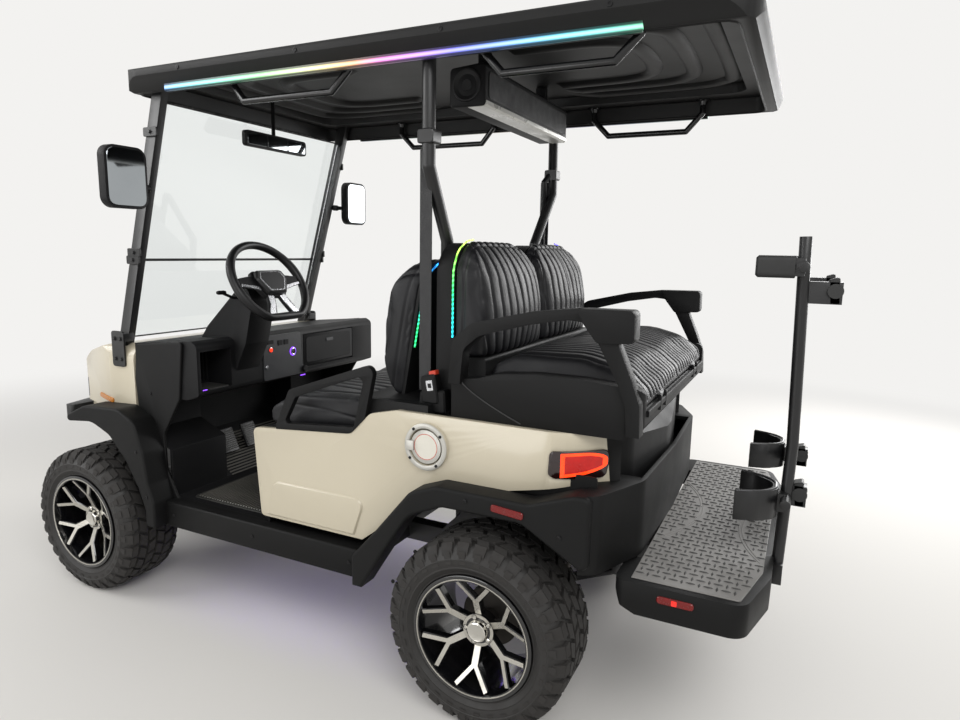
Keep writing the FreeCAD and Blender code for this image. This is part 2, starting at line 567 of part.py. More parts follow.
# The corner moulding runs round the back from one flare to the other.
CORNER_LOW = DECK_TOP + MOVING_GAP
CORNER_TOP = rear_arch[8][1]
CORNER_WALL = 14


def corner_plan(inset):
    """Half of the rear moulding's plan, from the flare to the middle."""
    front = REAR_AXLE_X - 295
    return [(front, FLARE_HALF - FLARE_EDGE - inset), (front - 45, FLARE_HALF - 35 - inset, 60),
            (DECK_FRONT_X + 16 + inset, BODY_HALF - 145 - inset / 2, 130), (DECK_FRONT_X + 4 + inset, 0)]


outer_plan = corner_plan(0)
inner_plan = corner_plan(CORNER_WALL)
corner = prism("Z", outer_plan + inner_plan[::-1], CORNER_LOW, CORNER_TOP)
corner = mirrored_whole(corner)

# Cream side panels with the wheel arch cut out and the rear end turned inwards
PANEL_FRONT_X = SEAT_FRONT_X + 26
panel_side = [(SEAT_FRONT_X, SILL_TOP + 32, 15), (PANEL_FRONT_X, DECK_Z - 133, 20), (-165, DECK_Z - 98, 40),
              (-240, DECK_Z - 22, 40), (-340, DECK_Z, 60), (BODY_REAR_X, DECK_Z), (BODY_REAR_X, PANEL_REAR_Z),
              (BODY_REAR_X + 90, PANEL_REAR_Z, 30), (REAR_AXLE_X - 30, DECK_Z - 197, 60),
              (REAR_AXLE_X + 200, DECK_Z - 255, 90), (SILL_REAR_X + 10, SILL_TOP + 32)]
turn = [(PANEL_FRONT_X + 4, BODY_HALF - PANEL), (PANEL_FRONT_X + 4, BODY_HALF),
        (BODY_REAR_X + 150, BODY_HALF, 180), (BODY_REAR_X + 15, BODY_HALF - 114),
        (BODY_REAR_X + 30, BODY_HALF - 130), (BODY_REAR_X + 158, BODY_HALF - PANEL, 160)]
# The low front of the panel stands proud of the rest, inside a sloping edge.
PANEL_PROUD = 6
raised_side = [(SEAT_FRONT_X - 30, SILL_TOP + 42), (SEAT_FRONT_X - 62, SILL_TOP + 170, 35),
               (REAR_AXLE_X + 440, SILL_TOP + 172, 30), (SILL_REAR_X + 40, SILL_TOP + 42)]
PORT_X = -450
PORT_Z = 808
PORT_RING = 73
PORT_HOLE = 58
PORT_LID = 52
LAMP_PROUD = 6
lamp_turn = [(PANEL_FRONT_X + 4, BODY_HALF - PANEL), (PANEL_FRONT_X + 4, BODY_HALF + LAMP_PROUD),
             (BODY_REAR_X + 147, BODY_HALF + LAMP_PROUD, 186), (BODY_REAR_X + 9, BODY_HALF - 110),
             (BODY_REAR_X + 30, BODY_HALF - 130), (BODY_REAR_X + 158, BODY_HALF - PANEL, 160)]
lamp_side = about(PANEL_REAR_X, DECK_Z, [(145, -119, 12), (142, -53, 12), (2, -48, 14), (-4, -74, 20),
                                         (4, -128, 14), (130, -130, 20)])
panel = prism("Y", panel_side, BODY_HALF - 140, BODY_HALF + 20)
panel = panel.common(prism("Z", turn, SILL_TOP, DECK_Z + 15))
raised = prism("Y", raised_side, BODY_HALF - 1, BODY_HALF + PANEL_PROUD)
raised_rim = [e for e in raised.Edges if abs(e.BoundBox.YMin - BODY_HALF - PANEL_PROUD) < 0.01]
panel = panel.fuse(raised.makeChamfer(PANEL_PROUD - 1, raised_rim)).removeSplitter()
lamp_hole = prism("Y", lamp_side, BODY_HALF - 140, BODY_HALF + 40)
# Behind the painted panel the black corner goes on in the same sweep up to the seat base.
end_side = [(PANEL_REAR_X + 10, DECK_Z + 20), (PANEL_REAR_X - 8, PANEL_REAR_Z - 20),
            (BODY_REAR_X - 50, PANEL_REAR_Z - 20), (BODY_REAR_X - 50, DECK_Z + 20)]
end_zone = prism("Y", end_side, BODY_HALF - 160, BODY_HALF + 40)
corner_top = panel.common(end_zone).cut(lamp_hole)
panel = panel.cut(end_zone).cut(lamp_hole)
tail_lamp = prism("Z", lamp_turn, DECK_Z - 165, DECK_Z - 25).common(lamp_hole)
port = disc("Y", PORT_X, PORT_Z, PORT_RING, BODY_HALF - PANEL, BODY_HALF + 10)
port_hole = disc("Y", PORT_X, PORT_Z, PORT_HOLE, BODY_HALF - PANEL + 6, BODY_HALF + 20)
left_panel = panel.fuse(port).removeSplitter().cut(port_hole)
save("side_panels", left_panel, right_of(panel))
ledge = prism("Z", corner_plan(0) + corner_plan(150)[::-1], CORNER_TOP - CORNER_WALL, CORNER_TOP)
ledge = ledge.common(box(DECK_FRONT_X - 20, PANEL_REAR_X + 30, BOX_HALF + FIT, SILL_HALF + 100, 0, DECK_Z))
corner_foot = prism("Z", turn, CORNER_TOP - CORNER_WALL, CORNER_TOP + 1).common(end_zone)
rear_moulding = fuse(both(rear_flare) + [corner] + both(corner_top.fuse(corner_foot)) + both(ledge))
save("flares", *(both(front_flare) + [rear_moulding]))
lid_disc = disc("Y", PORT_X, PORT_Z, PORT_LID, BODY_HALF - 2, BODY_HALF + 10)
PORT_BARREL = 4
hinge_x = PORT_X + PORT_HOLE + PORT_BARREL
hinge_y = BODY_HALF + 10 + PORT_BARREL + FIT
ear_x = PORT_X + PORT_LID - 12
ear_levels = (PORT_Z - 15, PORT_Z + 15)
ear = box(ear_x, PORT_X + PORT_LID - 1, BODY_HALF + 9, hinge_y + PORT_BARREL, *ear_levels)
strap = box(ear_x, hinge_x, hinge_y - PORT_BARREL, hinge_y + PORT_BARREL, *ear_levels)
barrel = disc("Z", hinge_x, hinge_y, PORT_BARREL, *ear_levels)
save("charge_lid", fuse([lid_disc, ear, strap, barrel]))
save("lamps", *(both(head_lamp) + both(tail_lamp)))


# Front struts, the folding windshield on their front faces, and the mirrors
def strut_x(z):
    return STRUT_FOOT_X - STRUT_LEAN * (z - STRUT_FOOT_Z)


STRUT_WIDE = 30
STRUT_DEEP = 50
strut_low = strut_x(990)
strut_high = strut_x(CEILING_Z)
strut_side = [(strut_low - STRUT_DEEP / 2, 990), (strut_low + STRUT_DEEP / 2, 990),
              (strut_high + STRUT_DEEP / 2, CEILING_Z), (strut_high - STRUT_DEEP / 2, CEILING_Z)]
strut = prism("Y", strut_side, STRUT_Y - STRUT_WIDE / 2, STRUT_Y + STRUT_WIDE / 2)
foot_side = [(930, 920, 12), (1000, 920, 12), (1000, 1060, 12), (930, 1060, 12)]
foot = prism("Y", foot_side, TRIM_HALF, TRIM_HALF + 8)
foot = foot.fuse(box(930, 1000, STRUT_Y, TRIM_HALF + 4, 1020, 1050))
strut = strut.fuse(foot).removeSplitter().cut(nose_form)
save("front_struts", *both(strut))

GLASS = 5
GLASS_HALF = STRUT_Y
SPLIT_Z = 1337


def pane(z0, z1):
    low = strut_x(z0) + STRUT_DEEP / 2
    high = strut_x(z1) + STRUT_DEEP / 2
    side = [(low, z0), (low + GLASS, z0), (high + GLASS, z1), (high, z1)]
    return prism("Y", side, -GLASS_HALF, GLASS_HALF)


save("windshield", pane(NOSE_TOP + 10, SPLIT_Z - 2), pane(SPLIT_Z + 2, ROOF_EDGE_Z - 15))

MIRROR_X = 740
MIRROR_Y = STRUT_Y + 60
MIRROR_Z = 1520
mirror_face = [(MIRROR_Y, MIRROR_Z), (MIRROR_Y + 162, MIRROR_Z), (MIRROR_Y + 162, MIRROR_Z + 212),
               (MIRROR_Y, MIRROR_Z + 212)]
mirror_shell = prism("X", mirror_face, MIRROR_X - 18, MIRROR_X + 18, 38)
mirror_arm_z = MIRROR_Z + 80
mirror_arm = rod((MIRROR_X, MIRROR_Y + 20, mirror_arm_z),
                 (strut_x(mirror_arm_z), STRUT_Y + 10, mirror_arm_z), 9)
side_mirror = mirror_shell.fuse(mirror_arm).removeSplitter().cut(strut)
REAR_VIEW_X = 640
view_low = ROOF_EDGE_Z - 130
view_face = [(-180, view_low), (180, view_low), (180, view_low + 62), (-180, view_low + 62)]
rear_view = [prism("X", view_face, REAR_VIEW_X, REAR_VIEW_X + 22, 14),
             rod((REAR_VIEW_X + 22, 0, view_low + 40), (REAR_VIEW_X + 22, 0, CROWN_Z), 8)]
save("mirrors", *(both(side_mirror) + [fuse(rear_view)]))

# Roof: a moulded tray with a down-turned rim all round and a hollow underside
ROOF_SIDE_Z = ROOF_EDGE_Z + 45
RIM_FOOT_Y = ROOF_HALF - 40
RIM_Y = ROOF_HALF - 52
roof_half = [(RIM_FOOT_Y, ROOF_EDGE_Z), (ROOF_HALF, ROOF_SIDE_Z), (ROOF_HALF, ROOF_TOP_Z - 50, 12),
             (ROOF_HALF - 100, ROOF_TOP_Z - 16, 120)]
roof_section = roof_half + [(0, ROOF_TOP_Z, 900)]
roof_section += [(-y, z, *radius) for y, z, *radius in reversed(roof_half)]
roof_plan = [(ROOF_REAR_X, -ROOF_HALF, 130), (ROOF_FRONT_X, -ROOF_HALF, 130), (ROOF_FRONT_X, ROOF_HALF, 130),
             (ROOF_REAR_X, ROOF_HALF, 130)]
roof_side = [(ROOF_REAR_X + 20, ROOF_EDGE_Z), (ROOF_FRONT_X - 60, ROOF_EDGE_Z),
             (ROOF_FRONT_X, ROOF_EDGE_Z + 35, 20), (ROOF_FRONT_X - 30, ROOF_TOP_Z - 45, 40),
             (ROOF_FRONT_X - 150, ROOF_TOP_Z, 120), (ROOF_REAR_X + 150, ROOF_TOP_Z, 120),
             (ROOF_REAR_X + 15, ROOF_TOP_Z - 35, 40), (ROOF_REAR_X, ROOF_EDGE_Z + 30, 20)]
tray = prism("X", roof_section, ROOF_REAR_X, ROOF_FRONT_X)
tray = tray.common(prism("Z", roof_plan, ROOF_EDGE_Z - 5, ROOF_TOP_Z + 5))
tray = tray.common(prism("Y", roof_side, -ROOF_HALF, ROOF_HALF))
HOLLOW_X0 = ROOF_REAR_X + 60
HOLLOW_X1 = ROOF_FRONT_X - 60
hollow = prism("Z", [(HOLLOW_X0, -RIM_Y), (HOLLOW_X1, -RIM_Y), (HOLLOW_X1, RIM_Y), (HOLLOW_X0, RIM_Y)],
               ROOF_EDGE_Z - 5, CEILING_Z, 40)
CROWN_HALF = RIM_Y - 98
crown_plan = [(HOLLOW_X0 + 60, -CROWN_HALF), (HOLLOW_X1 - 70, -CROWN_HALF), (HOLLOW_X1 - 70, CROWN_HALF),
              (HOLLOW_X0 + 60, CROWN_HALF)]
crown = prism("Z", crown_plan, ROOF_EDGE_Z - 5, CROWN_Z, 60)
tray = tray.cut(hollow.fuse(crown))
save("roof", tray)
LED_X0 = -1035
LED_X1 = 616
LED_Y0 = RIM_FOOT_Y + 2
LED_Y1 = LED_Y0 + 13
LED_LOW = ROOF_EDGE_Z - 8
rim_slope = (ROOF_SIDE_Z - ROOF_EDGE_Z) / (ROOF_HALF - RIM_FOOT_Y)
led_top = [(y, ROOF_EDGE_Z + rim_slope * (y - RIM_FOOT_Y)) for y in (LED_Y1, LED_Y0)]
led = prism("X", [(LED_Y0, LED_LOW), (LED_Y1, LED_LOW)] + led_top, LED_X0, LED_X1)
save("led_strips", *both(led))

grab = []
GRAB_Y = RIM_Y - 28
GRAB_LOW = ROOF_EDGE_Z - 58
for x0, x1 in ((-130, 350), (-1020, -590)):
    path = [(x0, GRAB_Y, CEILING_Z), (x0, GRAB_Y, ROOF_EDGE_Z + 5), (x0 + 60, GRAB_Y + 10, GRAB_LOW),
            (x1 - 60, GRAB_Y + 10, GRAB_LOW), (x1, GRAB_Y, ROOF_EDGE_Z + 5), (x1, GRAB_Y, CEILING_Z)]
    grab += both(tube(path, 11))
save("grab_handles", *grab)

SOUND_X = -522
SOUND_DEEP = 122
SOUND_HALF = 375
SOUND_LOW = ROOF_EDGE_Z - 100
sound_side = [(SOUND_X, SOUND_LOW), (SOUND_X + SOUND_DEEP, SOUND_LOW),
              (SOUND_X + SOUND_DEEP, ROOF_EDGE_Z + 15), (SOUND_X, ROOF_EDGE_Z + 25)]
sound = [prism("Y", sound_side, -SOUND_HALF, SOUND_HALF, 14)]
for y in (-250, 250):
    sound.append(box(SOUND_X + 42, SOUND_X + 82, y - 15, y + 15, SOUND_LOW + 70, CROWN_Z))
save("sound_bar", fuse(sound))

# Rear posts: they lean in between the seat backs and stand on the seat hoop
POST_RADIUS = 20
BELT_RADIUS = 12
POST_X = SEAT_HOOP_X + 2
POST_Y = BODY_HALF - 205
BELT_X = SEAT_HOOP_X + 8
BELT_Y = BODY_HALF - 96
main_post = tube([(POST_X - 16, STRUT_Y, CEILING_Z), (POST_X - 18, STRUT_Y + 4, 1640), (POST_X, POST_Y, 1425),
                  (POST_X, POST_Y, SEAT_FRAME_Z)], POST_RADIUS)
belt_post = tube([(POST_X - 16, STRUT_Y - 4, 1735), (BELT_X, BELT_Y, 1690), (BELT_X, BELT_Y, SEAT_FRAME_Z)],
                 BELT_RADIUS)
rear_post = main_post.fuse(belt_post).removeSplitter()
rear_post = rear_post.common(box(POST_X - 100, POST_X + 100, 0, ROOF_HALF, SEAT_FRAME_Z, CEILING_Z))
save("rear_posts", *both(rear_post))

# Front seat: pedestal, cushion, two backs and the bolster frames at the sides
PEDESTAL_TOP = 775
pedestal_side = [(SEAT_FRONT_X, FLOOR_TOP), (SEAT_FRONT_X, PEDESTAL_TOP, 10), (-330, PEDESTAL_TOP),
                 (-330, PEDESTAL_TOP - 20), (SEAT_FRONT_X - 18, PEDESTAL_TOP - 20),
                 (SEAT_FRONT_X - 18, FLOOR_TOP)]
pedestal = prism("Y", pedestal_side, -BODY_HALF + PANEL, BODY_HALF - PANEL)
pedestal = pedestal.cut(box(0, 300, PAN_HALF, BODY_HALF, 400, SILL_TOP))
pedestal = pedestal.cut(box(0, 300, -BODY_HALF, -PAN_HALF, 400, SILL_TOP))
save("seat_pedestal", pedestal)

seat_low = PEDESTAL_TOP + FIT
CUSHION_HALF = BODY_HALF - 65
cushion_side = [(-178, seat_low), (245, seat_low, 30), (262, 830, 40), (150, 902, 120), (-178, 912, 20)]
save("front_cushion", prism("Y", cushion_side, -CUSHION_HALF, CUSHION_HALF))

BACK_INNER = 12
BACK_OUTER = BODY_HALF - 120
BACK_TOP = 1372
BACK_LOW = 928
BACK_REAR_X = -275
BACK_THICK = 88
BACK_LEAN = 0.18
SHELL = 12
BACK_BELLY = 116


def leaned(x, z0, z1, thick):
    """Side view of a panel that leans to the rear; x is its rear face level with the backs' lower edge."""
    low = x - (z0 - BACK_LOW) * BACK_LEAN
    high = x - (z1 - BACK_LOW) * BACK_LEAN
    return [(low, z0), (low + thick, z0), (high + thick, z1), (high, z1)]


front_face = [(BACK_INNER, 900), (BACK_OUTER, 900), (BACK_OUTER, BACK_TOP, 110), (BACK_INNER, BACK_TOP, 110)]
belly = leaned(BACK_REAR_X, BACK_LOW + 240, BACK_LOW + 360, BACK_BELLY)
low_rear, low_front, top_front, top_rear = leaned(BACK_REAR_X, BACK_LOW, BACK_TOP, BACK_THICK)
back_side = [low_rear, (*low_front, 40), (*belly[1], 200), (*belly[2], 90),
             (top_front[0] - 22, BACK_TOP, 20), top_rear]
front_back = prism("Y", back_side, 0, BACK_OUTER)
front_back = front_back.common(prism("X", front_face, -400, -120))
save("front_backs", *both(front_back))

# Shell between the backs: a console with a hard panel behind each back
CONSOLE_X0 = -440
CONSOLE_X1 = -182
CONSOLE_TOP = BACK_LOW - FIT
shell_face = [(BACK_INNER + 8, 900), (BACK_OUTER - 8, 900), (BACK_OUTER - 8, BACK_TOP - 8, 105),
              (BACK_INNER + 8, BACK_TOP - 8, 105)]
front_shell = prism("Y", leaned(BACK_REAR_X - FIT - SHELL, BACK_LOW - 13, BACK_TOP, SHELL), 0, BACK_OUTER)
front_shell = front_shell.common(prism("X", shell_face, -450, -150))
REAR_BACK_TOP = BACK_TOP + 60
REAR_OUTER = BODY_HALF - 80
rear_shell_face = [(BACK_INNER + 8, CONSOLE_TOP - 28), (REAR_OUTER - 8, CONSOLE_TOP - 28),
                   (REAR_OUTER - 8, REAR_BACK_TOP - 13, 105), (BACK_INNER + 8, REAR_BACK_TOP - 13, 105)]
PAD_FRONT_X = -490
rear_shell = prism("X", rear_shell_face, PAD_FRONT_X, CONSOLE_X0 + SHELL)
for y in (POST_Y, BELT_Y):
    rear_shell = rear_shell.cut(disc("Z", POST_X, y, POST_RADIUS + MOVING_GAP, CONSOLE_TOP, REAR_BACK_TOP))
console = box(CONSOLE_X0, CONSOLE_X1, 0, BODY_HALF - PANEL, PEDESTAL_TOP, CONSOLE_TOP)
shell = mirrored_whole(fuse([console, front_shell, rear_shell]))
for y in (POST_Y, -POST_Y):
    shell = shell.cut(disc("Z", POST_X, y, POST_RADIUS + FIT, PEDESTAL_TOP - 5, CONSOLE_TOP + 5))
for y in (BELT_Y, -BELT_Y):
    shell = shell.cut(disc("Z", BELT_X, y, BELT_RADIUS + FIT, PEDESTAL_TOP - 5, CONSOLE_TOP + 5))
save("seat_shell", shell)

# Rear bench: base moulding with the box below it, flip-up cushion, two backs
BASE_REAR_X = REAR_AXLE_X - 425
BASE_TOP = DECK_Z + 75
BASE_HALF = BODY_HALF - 20
BASE_FRONT_X = PAD_FRONT_X - 2
CHEEK_FRONT_X = -520
CHEEK = 54
BACK_FOOT_X = -605
RISER_TOP = BASE_TOP + 100
CUSHION_Z = BASE_TOP + FIT
base_side = [(BASE_FRONT_X, DECK_Z), (BASE_FRONT_X, RISER_TOP - 6, 10), (BACK_FOOT_X, RISER_TOP, 10),
             (BACK_FOOT_X, BASE_TOP), (BASE_REAR_X, BASE_TOP, 12), (BASE_REAR_X, DECK_Z + 25, 20),
             (BODY_REAR_X - 10, DECK_Z)]
base_plan = [(BASE_FRONT_X + 5, -BASE_HALF), (BASE_REAR_X, -BASE_HALF, CHEEK - 6),
             (BASE_REAR_X, BASE_HALF, CHEEK - 6), (BASE_FRONT_X + 5, BASE_HALF)]
base = prism("Y", base_side, -BASE_HALF + CHEEK, BASE_HALF - CHEEK)
cheek_side = [(CHEEK_FRONT_X, DECK_Z), (CHEEK_FRONT_X, BASE_TOP + 39, 12), (BACK_FOOT_X, BASE_TOP + 49, 60),
              (-668, BASE_TOP + 68, 60), (-775, BASE_TOP + 78, 200), (-919, BASE_TOP + 78, 200),
              (BASE_REAR_X, BASE_TOP + 62, 25), (BASE_REAR_X, DECK_Z + 25, 20), (BODY_REAR_X - 10, DECK_Z)]
cheeks = both(prism("Y", cheek_side, BASE_HALF - CHEEK, BASE_HALF))
base_zone = prism("Z", base_plan, DECK_Z - 5, RISER_TOP + 5)
base = fuse([piece.common(base_zone) for piece in [base] + cheeks])
BOX_FRONT_X = REAR_AXLE_X - 60
BOX_CORNER_X = DECK_FRONT_X + 80
BOX_REAR_X = DECK_FRONT_X + 28
BOX_WALL = 15


def box_plan(inset):
    """The plan of the box under the bench, drawn in by its wall."""
    half = BOX_HALF - inset
    rear = [(BOX_CORNER_X + inset, half, 90), (BOX_REAR_X + inset, 0, 400), (BOX_CORNER_X + inset, -half, 90)]
    front = BOX_FRONT_X - 10 * (inset > 0)
    return [(front, -half), (front, half)] + rear


kick = prism("Z", box_plan(0), kick_top, DECK_Z + 1)
inner = prism("Z", box_plan(BOX_WALL), kick_top - 5, DECK_Z)
# Two hinges carry the flip-up cushion on the rear edge of the base.
HINGE_RADIUS = 6
HINGE_X = BASE_REAR_X - 2
HINGE_Z = BASE_TOP + 10
HINGE_Y = 300
lugs = []
for y in (HINGE_Y - 45, HINGE_Y + 31, -HINGE_Y - 45, -HINGE_Y + 31):
    lugs.append(disc("Y", HINGE_X, HINGE_Z, HINGE_RADIUS, y, y + 14))
    lugs.append(box(HINGE_X - HINGE_RADIUS, HINGE_X + 4, y, y + 14, BASE_TOP - 30, HINGE_Z))
# The top rear edge of the box slopes off, clear of the base's overhang.
box_top = []
for wall in (0, BOX_WALL * 1.4):
    box_top.append(prism("Y", [(BOX_REAR_X + 76 + wall, DECK_Z - 0.5), (BOX_REAR_X + 70 + wall, DECK_Z - 15),
                               (BOX_REAR_X + 6, DECK_Z - 75 - wall), (BOX_REAR_X - 10, DECK_Z - 110 - wall),
                               (BOX_REAR_X - 10, DECK_Z - 0.5)], -BOX_HALF - 5, BOX_HALF + 5))
kick = kick.cut(inner.cut(box_top[1])).cut(box_top[0])
save("rear_body", fuse([base, kick] + lugs))

CUSHION_REAR_X = BASE_REAR_X + 5
SEAT_TOP = BASE_TOP + 130
rear_side = [(BACK_FOOT_X - 7, CUSHION_Z, 8), (BACK_FOOT_X - 7, SEAT_TOP - 40, 30), (-690, SEAT_TOP - 6, 90),
             (-890, SEAT_TOP, 200), (-1000, SEAT_TOP - 28, 90), (CUSHION_REAR_X, SEAT_TOP - 75, 25),
             (CUSHION_REAR_X, CUSHION_Z, 8)]
rear_cushion = prism("Y", rear_side, -REAR_OUTER, REAR_OUTER)
leaves = []
for y in (HINGE_Y - 30, -HINGE_Y - 30):
    leaves.append(disc("Y", HINGE_X, HINGE_Z, HINGE_RADIUS, y, y + 60))
    leaves.append(box(HINGE_X, CUSHION_REAR_X + 5, y, y + 60, HINGE_Z - 4, HINGE_Z + 4))
save("rear_cushion", fuse([rear_cushion] + leaves))

rear_back_face = [(BACK_INNER, RISER_TOP), (REAR_OUTER, RISER_TOP), (REAR_OUTER, REAR_BACK_TOP, 120),
                  (BACK_INNER, REAR_BACK_TOP, 120)]
back_low = RISER_TOP + FIT
rear_back_side = [(PAD_FRONT_X - FIT, back_low), (BACK_FOOT_X + 5, back_low, 20), (BACK_FOOT_X + 4, 1220, 90),
                  (-575, 1350, 120), (-520, REAR_BACK_TOP, 30), (PAD_FRONT_X - FIT, REAR_BACK_TOP)]
rear_back = prism("Y", rear_back_side, 0, REAR_OUTER)
rear_back = rear_back.common(prism("X", rear_back_face, BACK_FOOT_X - 20, CONSOLE_X0))
save("rear_backs", *both(rear_back))

# Armrests: open loops of flat bar, the rear pair with a padded tip, the front pair low
ARM_Y0 = BODY_HALF - 50
ARM_Y1 = BODY_HALF - 2
arm_outer = [(-518, BASE_TOP + 30), (-528, 1140, 45), (-592, 1192, 60), (-767, 1233, 200), (-900, 1250, 60),
             (-1058, 1252, 14), (-1060, 1168, 10), (-1016, 1165, 5), (-1056, 1073, 60), (-1080, 1009, 40),
             (-1085, DECK_Z + 16)]
arm_inner = [(-1050, DECK_Z + 16), (-1044, 1000, 40), (-1022, 1056, 60), (-966, 1160, 30), (-925, 1214, 25),
             (-882, 1218, 60), (-768, 1198, 200), (-616, 1157, 60), (-566, 1115, 40), (-556, BASE_TOP + 30)]
rear_arm = prism("Y", arm_outer + arm_inner, ARM_Y0, ARM_Y1)
tip = prism("Y", [(-900, 1250, 10), (-1058, 1252, 14), (-1060, 1168, 14), (-962, 1163, 12), (-925, 1210)],
            ARM_Y0 - 8, ARM_Y1 + 8)
rear_arm = fuse([rear_arm, tip]).cut(base)
hip = prism("Y", [(160, 772, 15), (88, 925, 25), (-262, 1047, 25), (-206, 800, 15)], BODY_HALF - PANEL,
            BODY_HALF + 2)
hip_window = prism("Y", [(115, 805, 12), (62, 902, 20), (-222, 1005, 18), (-178, 830, 12)], BODY_HALF - 25,
                   BODY_HALF + 10)
hip = hip.cut(hip_window).cut(prism("Y", panel_side, BODY_HALF - 40, BODY_HALF + 20))
save("armrests", *(both(rear_arm) + both(hip)))

# Rear footplate: deck plate with a skirt, and the bag rack behind it
SKIRT_LOW = DECK_TOP - 90
SKIRT = 16
DECK_HALF = SILL_HALF
CORNER_Y = DECK_HALF - 200


def deck_plan(inset):
    """The footplate's plan: horns ahead of the tread beside the box, cut corners at the rear."""
    half = DECK_HALF - inset
    horn = [(DECK_FRONT_X - inset, BOX_HALF + 30), (DECK_HORN_X - inset, BOX_HALF + 30, 8),
            (DECK_HORN_X - inset, half, 30), (DECK_REAR_X + 49 + inset, half, 50),
            (DECK_REAR_X + inset, CORNER_Y - inset / 2, 60)]
    return horn + [(x, -y, *radius) for x, y, *radius in reversed(horn)]


deck = prism("Z", deck_plan(0), SKIRT_LOW, DECK_TOP)
deck = deck.cut(prism("Z", deck_plan(SKIRT), SKIRT_LOW, kick_top))
# The skirt's front lower corners are rounded.
toe = 60
corner_side = [(DECK_HORN_X + 5, SKIRT_LOW - 5), (DECK_HORN_X + 5, SKIRT_LOW + toe),
               (DECK_HORN_X, SKIRT_LOW + toe), (DECK_HORN_X - toe * 0.3, SKIRT_LOW + toe * 0.3),
               (DECK_HORN_X - toe, SKIRT_LOW), (DECK_HORN_X - toe, SKIRT_LOW - 5)]
deck = deck.cut(prism("Y", corner_side, -DECK_HALF - 5, DECK_HALF + 5))
# Two notches let the rails pass through the skirt.
for y0, y1 in ((RAIL_Y0, RAIL_Y1), (-RAIL_Y1, -RAIL_Y0)):
    notch = box(DECK_FRONT_X - SKIRT - 5, DECK_FRONT_X + 5, y0 - FIT, y1 + FIT, SKIRT_LOW - 5, kick_top)
    deck = deck.cut(notch)
RACK_HALF = 240
RACK_TUBE = 16
post_path = [(RACK_X, RACK_HALF, 455), (RACK_X - 12, RACK_HALF, 870), (RACK_X + 4, RACK_HALF, 1450)]
for notch in both(tube(post_path, RACK_TUBE + FIT)):
    deck = deck.cut(notch)
save("footplate", deck)

# Bag rack: two posts with cross bars, cradles and strap ratchets
BAR = 14
post = [tube(post_path, RACK_TUBE),
        box(DECK_REAR_X - 25, DECK_REAR_X, RACK_HALF - 30, RACK_HALF + 30, 460, 520)]
# Lower saddles that a bag's foot leans in, open to the front: half a plan each, from the middle to the tip
CRADLE_Y = 262
CRADLE_Z0 = 668
CRADLE_Z1 = 752
saddle_back = [(12, 38, 60), (66, 86, 60), (120, 100)]
saddle_face = [(122, 93), (76, 74, 60), (28, 30, 60)]
saddle = [(RACK_X + x, CRADLE_Y + y, *radius) for x, y, *radius in saddle_back + saddle_face]
saddle += [(RACK_X + x, CRADLE_Y - y, *radius) for x, y, *radius in (saddle_back + saddle_face)[::-1]]
post.append(prism("Z", saddle, CRADLE_Z0, CRADLE_Z1))
post.append(box(RACK_X - 8, RACK_X + 20, CRADLE_Y - 22, CRADLE_Y + 22, CRADLE_Z0 + 16, CRADLE_Z1 - 16))
# Upper padded arms and the strap ratchets behind the bars
RACK_ARM_Z0 = 1345
RACK_ARM_Z1 = 1392
for y in (CRADLE_Y - 40, CRADLE_Y + 40):
    post.append(box(RACK_X - 2, RACK_X + 112, y - 22, y + 22, RACK_ARM_Z0, RACK_ARM_Z1))
post.append(box(REAR_END_X, RACK_X + 2, 190, 230, 1270, 1330))
post.append(box(RACK_X - 60, RACK_X + 2, 190, 230, 690, 750))
post.append(box(RACK_X - 4, RACK_X + 6, 185, RACK_HALF, 1285, 1315))
post.append(box(RACK_X - 14, RACK_X - 2, 185, RACK_HALF, 705, 735))
rack = both(fuse(post))
for x, half, z in ((RACK_X - 8, 330, 720), (RACK_X, 330, 1370), (RACK_X + 3, RACK_HALF, 1435),
                   (RACK_X, RACK_HALF, 490)):
    rack.append(rod((x, -half, z), (x, half, z), BAR))
save("bag_rack", fuse(rack).cut(deck))
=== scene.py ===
# Electric golf cart with two forward seats and a rear-facing bench, put together from the
# chassis up: running gear, wheels, floor, body, cabin, seats, roof and the rear platform.
import json
import math
import bmesh
import bpy
from mathutils import Matrix, Vector


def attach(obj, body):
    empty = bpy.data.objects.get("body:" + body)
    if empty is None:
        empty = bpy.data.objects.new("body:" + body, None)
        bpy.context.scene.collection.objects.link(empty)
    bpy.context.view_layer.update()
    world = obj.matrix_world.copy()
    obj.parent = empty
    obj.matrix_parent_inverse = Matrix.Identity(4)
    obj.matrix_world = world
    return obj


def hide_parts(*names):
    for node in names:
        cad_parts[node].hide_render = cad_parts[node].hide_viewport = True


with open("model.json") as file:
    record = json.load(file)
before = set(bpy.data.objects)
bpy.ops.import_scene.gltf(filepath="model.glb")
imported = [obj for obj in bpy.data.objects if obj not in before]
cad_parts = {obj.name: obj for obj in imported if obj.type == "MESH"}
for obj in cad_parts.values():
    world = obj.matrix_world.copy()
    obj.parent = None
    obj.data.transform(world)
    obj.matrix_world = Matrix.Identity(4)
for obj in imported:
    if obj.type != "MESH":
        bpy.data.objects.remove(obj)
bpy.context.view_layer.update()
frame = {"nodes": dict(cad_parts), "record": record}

# Camera: off the cart's left rear corner, level with the rear footplate and at chest height,
# with the mild wide angle of the photograph.
CAMERA_PLACE = Vector((-1.447, 2.269, 1.395))
CAMERA_YAW = math.radians(26.02)
CAMERA_DIP = math.radians(9.27)
CAMERA_ROLL = math.radians(1.08)
CAMERA_LENS = 25.02


def placed(name, data):
    """A new object in the scene."""
    piece = bpy.data.objects.new(name, data)
    bpy.context.collection.objects.link(piece)
    return piece


